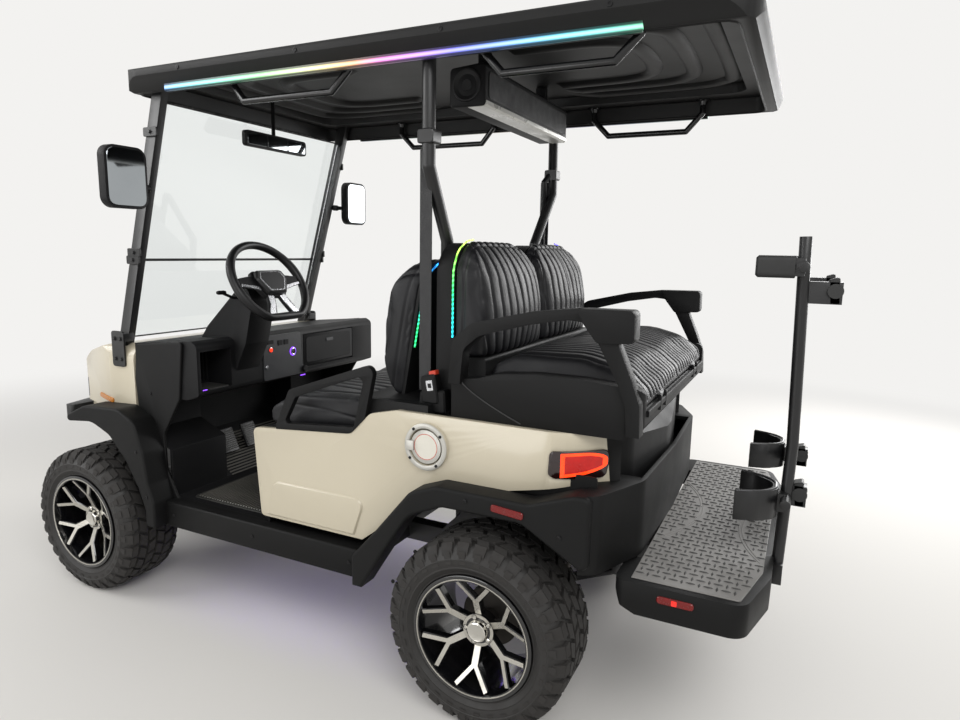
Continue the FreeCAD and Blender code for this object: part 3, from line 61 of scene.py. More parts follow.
level_run = math.cos(CAMERA_DIP)
ahead = Vector((math.sin(CAMERA_YAW) * level_run, -math.cos(CAMERA_YAW) * level_run, -math.sin(CAMERA_DIP)))
level_right = ahead.cross(Vector((0, 0, 1))).normalized()
level_up = level_right.cross(ahead)
camera_right = math.cos(CAMERA_ROLL) * level_right + math.sin(CAMERA_ROLL) * level_up
camera_up = math.cos(CAMERA_ROLL) * level_up - math.sin(CAMERA_ROLL) * level_right
camera_data = bpy.data.cameras.new("camera")
camera_data.lens = CAMERA_LENS
camera_data.sensor_width = 36
camera = placed("camera", camera_data)
camera_turn = Matrix((camera_right, camera_up, -ahead)).transposed()
camera.matrix_world = Matrix.Translation(CAMERA_PLACE) @ camera_turn.to_4x4()
bpy.context.scene.camera = camera
bpy.context.scene.view_settings.view_transform = "Standard"


# Studio: a plain pale floor with a soft shadow, a large soft light over the camera's shoulder,
# one behind the cart as from a tall door, two weaker ones off its left front, and an even pale surround.
def linear(code):
    """An sRGB hex colour as linear RGBA."""
    parts = [int(code[i:i + 2], 16) / 255 for i in (0, 2, 4)]
    return [c / 12.92 if c <= 0.04045 else ((c + 0.055) / 1.055) ** 2.4 for c in parts] + [1.0]


def add(tree, kind, settings=None, inputs=None):
    """A node with its settings; each input is given a value or the output that feeds it."""
    node = tree.nodes.new(kind)
    for name, value in (settings or {}).items():
        setattr(node, name, value)
    for name, value in (inputs or {}).items():
        if isinstance(value, bpy.types.NodeSocket):
            tree.links.new(value, node.inputs[name])
        else:
            node.inputs[name].default_value = value
    return node


def calculated(tree, operation, *values):
    """The result of a sum on values or outputs."""
    return add(tree, "ShaderNodeMath", {"operation": operation}, dict(enumerate(values))).outputs[0]


def ranged(tree, value, low, high, to_low=0.0, to_high=1.0, kind="LINEAR"):
    """An output brought from one range of values to another."""
    return add(tree, "ShaderNodeMapRange", {"interpolation_type": kind},
               {"Value": value, "From Min": low, "From Max": high, "To Min": to_low,
                "To Max": to_high}).outputs[0]


FLOOR_COLOUR = "D6D3CE"
SURROUND_COLOUR = "F3F2F0"
SURROUND_LIGHT = 0.55
SURROUND_LIGHT_COLOUR = "F4F6F8"

world = bpy.data.worlds.new("pale_surround")
bpy.context.scene.world = world
world.use_nodes = True
world_tree = world.node_tree
world_tree.nodes.clear()
path = add(world_tree, "ShaderNodeLightPath")
through = calculated(world_tree, "MAXIMUM", path.outputs["Is Camera Ray"],
                     path.outputs["Is Transmission Ray"])
seen = calculated(world_tree, "MAXIMUM", through, path.outputs["Is Glossy Ray"])
shown = add(world_tree, "ShaderNodeBackground", None, {"Color": linear(SURROUND_COLOUR), "Strength": 1.0})
lit = add(world_tree, "ShaderNodeBackground", None, {"Color": linear(SURROUND_LIGHT_COLOUR),
                                                     "Strength": SURROUND_LIGHT})
mixed = add(world_tree, "ShaderNodeMixShader", None, {0: seen, 1: lit.outputs[0], 2: shown.outputs[0]})
add(world_tree, "ShaderNodeOutputWorld", None, {"Surface": mixed.outputs[0]})

# place, aim, width, height, watts
LAMPS = [(Vector((-3.4, 3.6, 4.2)), Vector((0, 0, 0.7)), 3.6, 2.4, 165),
         (Vector((-2.6, -4.2, 2.6)), Vector((-0.4, 0, 0.9)), 2.4, 3.4, 170),
         (Vector((3.6, 2.6, 3.2)), Vector((0.3, 0, 0.8)), 2.6, 2.2, 85),
         (Vector((1.6, 4.4, 1.3)), Vector((0.2, 0, 0.9)), 2.8, 1.6, 45)]
for place, aim, width, height, watts in LAMPS:
    lamp_data = bpy.data.lights.new("soft_light", "AREA")
    lamp_data.shape = "RECTANGLE"
    lamp_data.size = width
    lamp_data.size_y = height
    lamp_data.energy = watts
    lamp = placed("soft_light", lamp_data)
    lamp_turn = (aim - place).to_track_quat("-Z", "Y").to_matrix()
    lamp.matrix_world = Matrix.Translation(place) @ lamp_turn.to_4x4()



def faced(name, points, faces):
    """A mesh from its points and faces."""
    mesh = bpy.data.meshes.new(name)
    mesh.from_pydata(points, [], faces)
    return mesh


FLOOR_HALF = 40
floor_corners = [(x * FLOOR_HALF, y * FLOOR_HALF, 0) for x, y in ((-1, -1), (1, -1), (1, 1), (-1, 1))]
floor_data = faced("floor", floor_corners, [(0, 1, 2, 3)])
floor = placed("floor", floor_data)
floor_finish = bpy.data.materials.new("pale_floor")
floor_finish.use_nodes = True
floor_shader = floor_finish.node_tree.nodes["Principled BSDF"]
floor_shader.inputs["Base Color"].default_value = linear(FLOOR_COLOUR)
floor_shader.inputs["Roughness"].default_value = 0.75
# Away from the cart the floor goes over into the surround, so no horizon shows.
FADE_NEAR = 2.4
FADE_FAR = 6.5
floor_tree = floor_finish.node_tree
spot = add(floor_tree, "ShaderNodeTexCoord").outputs["Object"]
away = add(floor_tree, "ShaderNodeVectorMath", {"operation": "LENGTH"}, {0: spot})
fade = ranged(floor_tree, away.outputs["Value"], FADE_NEAR, FADE_FAR, kind="SMOOTHSTEP")
pale = add(floor_tree, "ShaderNodeEmission", None, {"Color": linear(SURROUND_COLOUR), "Strength": 1.0})
ground = add(floor_tree, "ShaderNodeMixShader", None,
             {0: fade, 1: floor_shader.outputs[0], 2: pale.outputs[0]})
floor_tree.links.new(ground.outputs[0], floor_tree.nodes["Material Output"].inputs["Surface"])
floor_data.materials.append(floor_finish)


# Chassis: box rails, cross members and outriggers of welded steel, powder coated black.
# The coat gives a low satin gloss over a fine orange peel, with a slow drift in tone.
def new_finish(name, colour, roughness, sockets=None):
    """A material with its shader set: material, tree, shader and the piece's own coordinates."""
    finish = bpy.data.materials.new(name)
    finish.use_nodes = True
    tree = finish.node_tree
    shader = tree.nodes["Principled BSDF"]
    shader.inputs["Base Color"].default_value = linear(colour)
    shader.inputs["Roughness"].default_value = roughness
    for socket, value in (sockets or {}).items():
        shader.inputs[socket].default_value = value
    return finish, tree, shader, add(tree, "ShaderNodeTexCoord").outputs["Object"]


def cloudy(tree, shader, place, first, second, patch_mm, gloss):
    """Slow drift between two colours and two roughness values, in patches of that size."""
    clouds = add(tree, "ShaderNodeTexNoise", None, {"Vector": place, "Scale": 1000 / patch_mm, "Detail": 5.0,
                                                    "Roughness": 0.6})
    tint = add(tree, "ShaderNodeMix", {"data_type": "RGBA"},
               {"Factor": clouds.outputs["Fac"], "A": linear(first), "B": linear(second)})
    wear = ranged(tree, clouds.outputs["Fac"], 0.3, 0.7, *gloss)
    tree.links.new(tint.outputs[2], shader.inputs["Base Color"])
    tree.links.new(wear, shader.inputs["Roughness"])
    return tint.outputs[2]


def raised(tree, shader, height, depth_mm, strength=1.0):
    """Relief in the surface from an output that gives its height, with its depth in millimetres."""
    relief = add(tree, "ShaderNodeBump", None, {"Height": height, "Distance": depth_mm / 1000,
                                                "Strength": strength})
    tree.links.new(relief.outputs["Normal"], shader.inputs["Normal"])


def grained(tree, shader, place, grain_mm, depth_mm):
    """Fine irregular relief, with its grain and depth in millimetres."""
    height = add(tree, "ShaderNodeTexNoise", None, {"Vector": place, "Scale": 1000 / grain_mm})
    raised(tree, shader, height.outputs[0], depth_mm)


def surfaced(name, colour, roughness, drift, grain=None, sockets=None):
    """A finish with its drift, given as two colours, patch size and gloss range, and its grain and depth."""
    finish, tree, shader, place = new_finish(name, colour, roughness, sockets)
    cloudy(tree, shader, place, *drift)
    if grain:
        grained(tree, shader, place, *grain)
    return finish


def powder_coat(name, first, second, gloss):
    # Baked polyester powder on steel: orange peel about 3 mm across and a quarter of a millimetre deep.
    return surfaced(name, first, gloss[0], (first, second, 260, gloss), (3, 0.25))


def link(name, mesh, finish, body, stands_for=(), crisp=35):
    """A finished piece: its object, its material, the body it rides on and what it stands for.
    Edges that turn by more than the crisp angle stay sharp, and the rest is shaded smoothly."""
    if crisp:
        for face in mesh.polygons:
            face.use_smooth = True
        mesh.set_sharp_from_angle(angle=math.radians(crisp))
    piece = placed(name, mesh)
    if finish is not None:
        mesh.materials.clear()
        mesh.materials.append(finish)
    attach(piece, body)
    if stands_for:
        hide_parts(*stands_for)
    return piece


def as_mesh(form, name):
    """A form that was built up, as a mesh of that name."""
    mesh = bpy.data.meshes.new(name)
    form.to_mesh(mesh)
    form.free()
    return mesh


def soften(piece, width, sharp):
    """Round the edges that turn by more than an angle, and shade the rest smoothly."""
    bevel = piece.modifiers.new("edge", "BEVEL")
    bevel.width = width
    bevel.segments = 2
    bevel.limit_method = "ANGLE"
    bevel.angle_limit = math.radians(sharp)
    bevel.harden_normals = True
    for face in piece.data.polygons:
        face.use_smooth = True
    return piece


FLAT_WITHIN = math.radians(1.0)
SAME_POINT = 2e-5


def cad_form(node, part=None):
    """The node's own form, its triangles joined at their corners; with part, only where that holds true."""
    form = bmesh.new()
    form.from_mesh(frame["nodes"][node].data)
    bmesh.ops.remove_doubles(form, verts=form.verts, dist=SAME_POINT)
    if part:
        bmesh.ops.delete(form, geom=[v for v in form.verts if not part(v.co)], context="VERTS")
    return form


def from_cad(node, name, finish, edge=0.003, sharp=30, part=None, stands=True):
    """The node's own form, its triangles joined to flat faces and its edges rounded as moulded or bent;
    edge 0 leaves them sharp."""
    form = cad_form(node, part)
    bmesh.ops.dissolve_limit(form, angle_limit=FLAT_WITHIN, verts=form.verts, edges=form.edges)
    mesh = as_mesh(form, name)
    record = frame["record"]
    body = next(b for b, nodes in record["behaviour"]["bodies"].items() if node in nodes)
    piece = link(name, mesh, finish, body, (node,) if stands else (), None)
    return soften(piece, edge, sharp) if edge else piece


chassis_coat = powder_coat("chassis_powder_coat", "17181A", "242422", (0.38, 0.55))
from_cad("chassis_frame", "welded_frame", chassis_coat, 0.004)


def moulded(name, first, second, gloss, grain_mm=1.4, depth_mm=0.12, shine=0.18):
    # Injection-moulded plastic with a fine etched grain; the mould's flow shows as a slight drift in gloss.
    return surfaced(name, first, gloss[0], (first, second, 320, gloss), (grain_mm, depth_mm),
                    {"Specular IOR Level": shine})


def worked(holder):
    """The mesh of an object with its modifiers run; the object itself is taken away."""
    shown = holder.evaluated_get(bpy.context.evaluated_depsgraph_get())
    mesh = bpy.data.meshes.new_from_object(shown)
    bpy.data.objects.remove(holder)
    return mesh


def tube_along(points, radius, sides=8, closed=False):
    """A round cord, rod or tube along points, as a mesh."""
    line = bpy.data.curves.new("line", "CURVE")
    line.dimensions = "3D"
    line.bevel_depth = radius
    line.bevel_resolution = max(1, sides // 4)
    line.use_fill_caps = not closed
    spline = line.splines.new("POLY")
    spline.points.add(len(points) - 1)
    for spot, point in zip(spline.points, points):
        spot.co = (*point, 1.0)
    spline.use_cyclic_u = closed
    mesh = worked(placed("line", line))
    for face in mesh.polygons:
        face.use_smooth = True
    return mesh


def joined(meshes):
    """Several meshes as one."""
    form = bmesh.new()
    for mesh in meshes:
        form.from_mesh(mesh)
    return as_mesh(form, "joined")


def mirrored_mesh(mesh):
    """The mesh's reflection on the cart's other side."""
    twin = mesh.copy()
    twin.transform(Matrix.Scale(-1, 4, (0, 1, 0)))
    twin.flip_normals()
    return twin


def both_sides(mesh):
    """The mesh and its reflection on the cart's other side, as one."""
    return joined([mesh, mirrored_mesh(mesh)])


def moved(mesh, place, degrees=0.0, axis="Z"):
    """The mesh turned about an axis through its origin and then set down at a place."""
    mesh.transform(Matrix.Translation(place) @ Matrix.Rotation(math.radians(degrees), 4, axis))
    return mesh


# Battery: a sealed block in a grey moulded case, on the floor under the front seat
battery_case = moulded("battery_case_plastic", "3B3D40", "4A4C4E", (0.5, 0.65), 2.0, 0.2)
from_cad("battery_pack", "battery_case", battery_case, 0.006)

# Rear axle: cast gear case, motor housing and brake drums with the skin of the casting, grey with road dust
as_cast = surfaced("as_cast_iron", "3A3836", 0.7, ("2E2C2B", "55504A", 70, (0.55, 0.8)), (2.5, 0.5),
                   sockets={"Metallic": 0.6})
from_cad("rear_axle", "axle_with_drums", as_cast, 0.005)
from_cad("knuckle_left", "left_knuckle", as_cast, 0.004)
from_cad("knuckle_right", "right_knuckle", as_cast, 0.004)
from_cad("front_suspension", "suspension_arms", chassis_coat, 0.003)
# Tie rod: drawn bar with a bright zinc coat
zinc = surfaced("zinc_plate", "B9BABC", 0.32, ("C6C7C8", "8E8F92", 60, (0.22, 0.45)), (1.5, 0.06),
                sockets={"Metallic": 1.0})
from_cad("tie_rod", "drawn_tie_rod", zinc, 0.002)

# Springs: rear leaf packs of dark spring steel, and front coils of the same steel round damper rods
spring_steel = surfaced("spring_steel", "4A4A4C", 0.38, ("58585A", "2C2B2A", 90, (0.3, 0.6)), (3, 0.2),
                        sockets={"Metallic": 0.9})
from_cad("springs", "leaf_packs", spring_steel, 0.002, part=lambda at: at.x < 0.3)
COIL_RADIUS = 0.026
COIL_WIRE = 0.0055
COIL_TURNS = 7
TURN_STEPS = 16
COIL_LOW = 0.388
COIL_HIGH = 0.548
DAMPER_PLACE = (1.09, 0.35, 0)
DAMPER_LOW = 0.384
DAMPER_TOP = 0.470
ROD_TOP = 0.552
coil = []
for i in range(COIL_TURNS * TURN_STEPS + 1):
    turn = math.tau * i / TURN_STEPS
    coil.append(Vector((COIL_RADIUS * math.cos(turn), COIL_RADIUS * math.sin(turn),
                        COIL_LOW + (COIL_HIGH - COIL_LOW) * i / (COIL_TURNS * TURN_STEPS))))
damper_parts = [tube_along(coil, COIL_WIRE, 8),
                tube_along([(0, 0, DAMPER_LOW), (0, 0, DAMPER_TOP)], 0.017, 24),
                tube_along([(0, 0, DAMPER_TOP), (0, 0, ROD_TOP)], 0.007, 16)]
damper_and_coil = moved(joined(damper_parts), DAMPER_PLACE)
link("front_coils", both_sides(damper_and_coil), spring_steel, "cart")

# Tyres: 23-inch all-terrain rubber on 14-inch rims. A smooth moulded carcass with rings on the
# sidewall carries blocks in six staggered rows, and lugs that run down the shoulder.
TYRE_RADIUS = 0.292
TYRE_HALF = 0.125
TREAD_DEPTH = 0.011
PITCHES = 32
AXLE_HEIGHT = 0.292
WHEEL_Y = 0.57


def turned(profile, steps):
    """Mesh turned about the Y axis from a closed outline of (radius, station along Y) points."""
    count = len(profile)
    points = []
    for i in range(steps):
        angle = math.tau * i / steps
        points += [(r * math.cos(angle), y, r * math.sin(angle)) for r, y in profile]
    faces = []
    for i in range(steps):
        for j in range(count):
            a, b = i * count, ((i + 1) % steps) * count
            faces.append((a + j, a + (j + 1) % count, b + (j + 1) % count, b + j))
    return faced("turned", points, faces)


def grow(tree, mesh, inputs):
    """What a node tree grows from a mesh, as a plain mesh."""
    holder = placed("holder", mesh)
    grower = holder.modifiers.new("grow", "NODES")
    grower.node_group = tree
    for socket in tree.interface.items_tree:
        if socket.in_out == "INPUT" and socket.name in inputs:
            grower[socket.identifier] = inputs[socket.name]
    return worked(holder)


def new_grower(name, sockets):
    """An empty node tree with a geometry input and output and the named inputs."""
    tree = bpy.data.node_groups.new(name, "GeometryNodeTree")
    tree.interface.new_socket("Geometry", in_out="INPUT", socket_type="NodeSocketGeometry")
    for label, kind in sockets:
        tree.interface.new_socket(label, in_out="INPUT", socket_type=kind)
    tree.interface.new_socket("Geometry", in_out="OUTPUT", socket_type="NodeSocketGeometry")
    return tree, add(tree, "NodeGroupInput").outputs


def dressed_copies(tree, given, sockets):
    """The end of such a tree: copies on points, made real and given their material."""
    copies = add(tree, "GeometryNodeInstanceOnPoints", None, sockets)
    real = add(tree, "GeometryNodeRealizeInstances", None, {"Geometry": copies.outputs[0]})
    dressed = add(tree, "GeometryNodeSetMaterial", None,
                  {"Geometry": real.outputs[0], "Material": given["Finish"]})
    add(tree, "NodeGroupOutput", None, {"Geometry": dressed.outputs[0]})
    return tree


def ring_of_copies():
    """Node tree: copies of a mesh set evenly about the Y axis, with a material."""
    tree, given = new_grower("ring_of_copies", [("Count", "NodeSocketInt"), ("Finish", "NodeSocketMaterial")])
    places = add(tree, "GeometryNodePoints", None, {"Count": given["Count"]})
    step = calculated(tree, "DIVIDE", math.tau, given["Count"])
    index = add(tree, "GeometryNodeInputIndex")
    about = add(tree, "ShaderNodeCombineXYZ", None,
                {"Y": calculated(tree, "MULTIPLY", index.outputs[0], step)})
    turn = add(tree, "FunctionNodeEulerToRotation", None, {0: about.outputs[0]})
    return dressed_copies(tree, given, {"Points": places.outputs[0], "Instance": given["Geometry"],
                                        "Rotation": turn.outputs[0]})


around_axle = ring_of_copies()


def tread_shape(y):
    """Radius of the tread's outside at a station across the tyre."""
    outline = [(0.0, TYRE_RADIUS), (0.083, TYRE_RADIUS), (0.103, TYRE_RADIUS - 0.007), (0.120, 0.262),
               (TYRE_HALF, 0.238)]
    y = abs(y)
    for (y0, r0), (y1, r1) in zip(outline, outline[1:]):
        if y <= y1:
            return r0 + (r1 - r0) * (y - y0) / (y1 - y0)
    return outline[-1][1]


BLOCK_INSET = 0.0012
BLOCK_ROOT = 0.004
TREAD_CLEAR = 0.0006


def walled(form, low, high):
    """Faces all round between two rings of as many points."""
    for i, on in enumerate([*range(1, len(low)), 0]):
        form.faces.new((low[i], low[on], high[on], high[i]))


def block(form, y_from, y_to, turn_from, turn_to, skew=0.0):
    """One tread block between two stations and two angles, rising from the carcass; skew is in radians.
    Its root goes into the carcass, and its top is drawn in all round."""
    top, foot = [], []
    for y, t, edge_y, edge_t in ((y_from, turn_from, 1, 1), (y_to, turn_from, -1, 1), (y_to, turn_to, -1, -1),
                                 (y_from, turn_to, 1, -1)):
        slide = skew * (1 if y == y_to else -1) * 0.5
        r = tread_shape(y) - TREAD_CLEAR
        for ring, radius, back in ((top, r, BLOCK_INSET), (foot, r - TREAD_DEPTH - BLOCK_ROOT, 0.0)):
            angle = t + slide + edge_t * back / radius
            ring.append(form.verts.new((radius * math.cos(angle), y + edge_y * back,
                                        radius * math.sin(angle))))
    form.faces.new(top)
    walled(form, foot, top)


PITCH = math.tau / PITCHES
tread = bmesh.new()
# Rows of blocks: from station, to station, start and end as parts of a pitch, skew. The far side has the same
# rows half a pitch on.
TREAD_ROWS = [(0.004, 0.034, 0.02, 0.80, 0.05), (0.041, 0.073, 0.30, 1.10, -0.06),
              (0.080, 0.1005, 0.05, 0.76, 0.03)]
# Side lugs: a long one below each shoulder block, then a short one on the sidewall
SIDE_LUGS = [(0.1008, 0.1185, 0.05, 0.76), (0.1185, 0.1243, 0.17, 0.63)]
for y0, y1, start, end, skew in TREAD_ROWS:
    block(tread, y0, y1, start * PITCH, end * PITCH, skew)
    block(tread, -y1, -y0, (start + 0.5) * PITCH, (end + 0.5) * PITCH, -skew)
for side, late in ((1, 0.0), (-1, 0.5)):
    for y0, y1, start, end in SIDE_LUGS:
        near, far = sorted((y0 * side, y1 * side))
        block(tread, near, far, (start + late) * PITCH, (end + late) * PITCH)
bmesh.ops.recalc_face_normals(tread, faces=tread.faces)
one_pitch = as_mesh(tread, "one_pitch")

# Carcass: radius and station, from the bead up over the shoulder to the middle of the tread
half_carcass = [(0.181, 0.102), (0.191, 0.1035), (0.1935, 0.1115), (0.197, 0.1115), (0.199, 0.1135),
                (0.210, 0.1185), (0.2115, 0.1203), (0.2145, 0.1203), (0.216, 0.1198), (0.228, 0.1228),
                (0.236, 0.1232), (0.2375, 0.1246), (0.2405, 0.1246), (0.242, 0.1225), (0.256, 0.116),
                (0.270, 0.105), (0.2785, 0.092), (0.2805, 0.076), (0.281, 0.0)]
carcass_profile = half_carcass[:-1] + [(r, -y) for r, y in reversed(half_carcass)]

# Sidewall rubber: brown-black moulded skin with fine turned rings and a dull bloom.
sidewall = surfaced("sidewall_rubber", "151413", 0.62, ("121211", "211E1C", 90, (0.5, 0.72)), (2.2, 0.3))
# Tread rubber: the same compound scuffed grey-brown by driving.
tread_rubber = surfaced("tread_rubber", "1B1A19", 0.8, ("161515", "2B2825", 45, (0.72, 0.92)), (3.5, 0.5))

# Rims: cast aluminium, gloss black, with six Y spokes whose narrow faces are machined bright.
RIM_FACE = 0.119
BARREL = 0.165
HUB = 0.046
HUB_FACE = 0.066
FORK = 0.098
SPREAD = math.radians(17)
gloss_black = surfaced("rim_gloss_black", "08080A", 0.12, ("070708", "101012", 120, (0.1, 0.22)),
                       sockets={"Coat Weight": 0.6, "Coat Roughness": 0.05})
# Machined aluminium: a bright cut face with fine marks left by the turning tool, lacquered.
machined, tree, shader, place = new_finish("rim_machined_face", "C9C6BE", 0.28, {"Metallic": 1.0})
cloudy(tree, shader, place, "D6D3CB", "A9A69E", 60, (0.2, 0.38))
marks = add(tree, "ShaderNodeTexWave", {"wave_type": "RINGS", "rings_direction": "Y", "bands_direction": "X"},
            {"Vector": place, "Scale": 260.0, "Distortion": 0.4})
raised(tree, shader, marks.outputs["Fac"], 0.04)
# Chrome: plated cap and nuts, with a faint haze.
chrome = surfaced("wheel_chrome", "D8D6D0", 0.1, ("DEDCD6", "BDBAB2", 40, (0.06, 0.2)),
                  sockets={"Metallic": 1.0})


def spoke_outline(stem, branch):
    """Corners of a Y spoke as (across, out), from the foot round to the tips."""
    reach = (BARREL + 0.003) * math.sin(SPREAD)
    out = (BARREL + 0.003) * math.cos(SPREAD) - FORK
    length = math.hypot(reach, out)
    along = (reach / length, out / length)
    side = (along[1], -along[0])
    split = (stem - side[0] * branch) / along[0]
    crotch = side[0] * branch / along[0]
    right = [(stem, HUB - 0.004), (stem, FORK + side[1] * branch + along[1] * split),
             (side[0] * branch + reach, FORK + side[1] * branch + out),
             (-side[0] * branch + reach, FORK - side[1] * branch + out)]
    left = [(-u, v) for u, v in reversed(right)]
    return right + [(0.0, FORK - side[1] * branch + along[1] * crotch)] + left


def spoke_front(v):
    """Station of the spoke's face: it slopes in from the lip to the hub."""
    return HUB_FACE - 0.003 + (RIM_FACE - 0.007 - HUB_FACE + 0.003) * (v - HUB) / (BARREL - HUB)


spokes = bmesh.new()
rings = []
# Half widths of the machined face's stem and branch; the spoke's rings go from its back to that face.
FACE_SIZE = (0.0100, 0.0060)
for stem, branch, depth in ((0.0115, 0.0080, 0.024), (0.0120, 0.0085, 0.0035), (*FACE_SIZE, 0.0)):
    rings.append([spokes.verts.new((u, spoke_front(v) - depth, v)) for u, v in spoke_outline(stem, branch)])
for low, high in zip(rings, rings[1:]):
    walled(spokes, low, high)
spokes.faces.new(rings[0])
bmesh.ops.recalc_face_normals(spokes, faces=spokes.faces)
spoke_sides = as_mesh(spokes, "spoke_sides")
face = spoke_outline(*FACE_SIZE)
spoke_face = faced("spoke_face", [(u, spoke_front(v) + 0.0002, v) for u, v in face],
                   [tuple(range(len(face)))[::-1]])

barrel_profile = [(BARREL + 0.008, RIM_FACE - 0.001), (0.184, RIM_FACE), (0.1895, RIM_FACE - 0.002),
                  (0.190, 0.113), (0.188, 0.104), (0.178, 0.1025), (0.178, 0.073), (0.172, 0.058),
                  (0.172, -0.058), (0.178, -0.073), (0.178, -0.1025), (0.190, -0.104), (0.190, -0.115),
                  (0.173, -0.115), (BARREL, -0.083), (BARREL, 0.078)]
lip_line = [(0.1765, RIM_FACE + 0.0004), (0.1795, RIM_FACE + 0.0006), (0.180, RIM_FACE - 0.001),
            (0.176, RIM_FACE - 0.001)]
hub_profile = [(0.0302, 0.022), (HUB, 0.022), (HUB + 0.003, 0.05), (HUB + 0.006, 0.061),
               (HUB + 0.004, HUB_FACE), (0.0302, HUB_FACE)]
hub_ring = [(HUB - 0.006, HUB_FACE + 0.0005), (HUB + 0.0035, HUB_FACE + 0.0005),
            (HUB + 0.0035, HUB_FACE - 0.001), (HUB - 0.006, HUB_FACE - 0.001)]
cap_profile = [(0.0, 0.058), (0.034, 0.058), (0.034, 0.0665), (0.0325, 0.069), (0.0320, 0.0765),
               (0.0300, 0.0800), (0.0262, 0.0815), (0.0250, 0.0808), (0.0, 0.0812)]
# Wheel nuts and their seats, drawn on the axle's line and moved out to the bolt circle
NUT_PLACE = (0.040, 0, 0)
nut = moved(turned([(0.0, 0.070), (0.0052, 0.070), (0.0066, 0.0685), (0.0070, 0.060), (0.0, 0.060)], 6),
            NUT_PLACE)
seat = moved(turned([(0.0078, 0.0672), (0.0092, 0.0668), (0.0092, 0.062), (0.0078, 0.062)], 20), NUT_PLACE)


def together(name, parts):
    """One mesh from (mesh, finish) parts."""
    form = bmesh.new()
    mesh = bpy.data.meshes.new(name)
    for part, finish in parts:
        first = len(form.faces)
        form.from_mesh(part)
        form.faces.ensure_lookup_table()
        if finish.name not in mesh.materials:
            mesh.materials.append(finish)
        for one in form.faces[first:]:
            one.material_index = mesh.materials.find(finish.name)
            one.smooth = True
    form.to_mesh(mesh)
    form.free()
    return mesh


tread_ring = grow(around_axle, one_pitch, {"Count": PITCHES, "Finish": tread_rubber})
spoke_ring = grow(around_axle, spoke_sides, {"Count": 6, "Finish": gloss_black})
face_ring = grow(around_axle, spoke_face, {"Count": 6, "Finish": machined})
nut_ring = grow(around_axle, nut, {"Count": 5, "Finish": chrome})
seat_ring = grow(around_axle, seat, {"Count": 5, "Finish": gloss_black})
tyre_mesh = together("tyre", [(turned(carcass_profile, 128), sidewall), (tread_ring, tread_rubber)])
rim_parts = [(turned(barrel_profile, 96), gloss_black), (turned(lip_line, 96), machined),
             (spoke_ring, gloss_black), (face_ring, machined), (turned(hub_profile, 48), gloss_black),
             (turned(hub_ring, 48), machined), (turned(cap_profile, 48), chrome), (nut_ring, chrome),
             (seat_ring, gloss_black)]
rim_mesh = together("rim", rim_parts)
FRONT_AXLE = 1.09
REAR_AXLE = -0.66
# corner of the cart, axle, side and turn: the right-hand wheels are turned about
CORNERS = [("front_left", FRONT_AXLE, 1, 0), ("front_right", FRONT_AXLE, -1, 180),
           ("rear_left", REAR_AXLE, 1, 0), ("rear_right", REAR_AXLE, -1, 180)]
for corner, axle_x, side, degrees in CORNERS:
    for kind, mesh, slot_name in (("tyre", tyre_mesh, "tyre_black"), ("rim", rim_mesh, "rim_alloy")):
        own = moved(mesh.copy(), (axle_x, side * WHEEL_Y, AXLE_HEIGHT), degrees)
        node = kind + "_" + corner
        link(node + "_built", own, None, "wheel_" + corner, (node,), 32)


# Floor: a black moulded pan and footwell, with a ribbed rubber mat laid from the seat to the toe board
def row_of_copies():
    """Node tree: copies of a mesh in an even row, with a material."""
    tree, given = new_grower("row_of_copies", [("Count", "NodeSocketInt"), ("Step", "NodeSocketVector"),
                                               ("Finish", "NodeSocketMaterial")])
    places = add(tree, "GeometryNodeMeshLine", {"mode": "OFFSET"},
                 {"Count": given["Count"], "Offset": given["Step"]})
    return dressed_copies(tree, given, {"Points": places.outputs[0], "Instance": given["Geometry"]})


in_a_row = row_of_copies()


def rounded(points, radius, steps=5):
    """An outline with its corners turned by that radius; a point's third value is its own radius."""
    shaped = []
    for i, point in enumerate(points):
        here = Vector(point[:2])
        back = Vector(points[i - 1][:2]) - here
        on = Vector(points[(i + 1) % len(points)][:2]) - here
        half = back.angle(on) / 2
        own = point[2] if len(point) > 2 else radius
        reach = min(own / math.tan(half), 0.48 * back.length, 0.48 * on.length)
        if reach < 1e-5:
            shaped.append(here)
            continue
        start, end = here + back.normalized() * reach, here + on.normalized() * reach
        for k in range(steps + 1):
            share = k / steps
            shaped.append(start.lerp(here, share).lerp(here.lerp(end, share), share))
    return shaped


def slab(axis, points, low, high, radius=0.0, edge=0.0):
    """A plate from an outline in the plane across an axis, its upper edge drawn in by a chamfer."""
    if radius or any(len(p) > 2 for p in points):
        shaped = rounded(points, radius)
    else:
        shaped = [Vector(p[:2]) for p in points]
    middle = sum(shaped, Vector((0, 0))) / len(shaped)
    turn = sum((a.x * b.y - b.x * a.y for a, b in zip(shaped, shaped[1:] + shaped[:1])))
    sign = 1 if turn > 0 else -1
    inner = []
    for i, here in enumerate(shaped):
        run = (shaped[(i + 1) % len(shaped)] - shaped[i - 1]).normalized()
        inner.append(here + Vector((-run.y, run.x)) * edge * sign)
    place = {"X": lambda p, w: (w, p.x, p.y), "Y": lambda p, w: (p.x, w, p.y),
             "Z": lambda p, w: (p.x, p.y, w)}[axis]
    toward = 1 if high > low else -1
    rings = [(shaped, low), (shaped, high - edge * toward), (inner, high)]
    form = bmesh.new()
    made = [[form.verts.new(place(p, w)) for p in ring] for ring, w in rings]
    for first, second in zip(made, made[1:]):
        walled(form, first, second)
    form.faces.new(made[0][::-1])
    form.faces.new(made[-1])
    bmesh.ops.remove_doubles(form, verts=form.verts, dist=1e-6)
    bmesh.ops.recalc_face_normals(form, faces=form.faces)
    return as_mesh(form, "slab")


def oblong(u0, u1, v0, v1):
    """Corners of a rectangle."""
    return [(u0, v0), (u1, v0), (u1, v1), (u0, v1)]


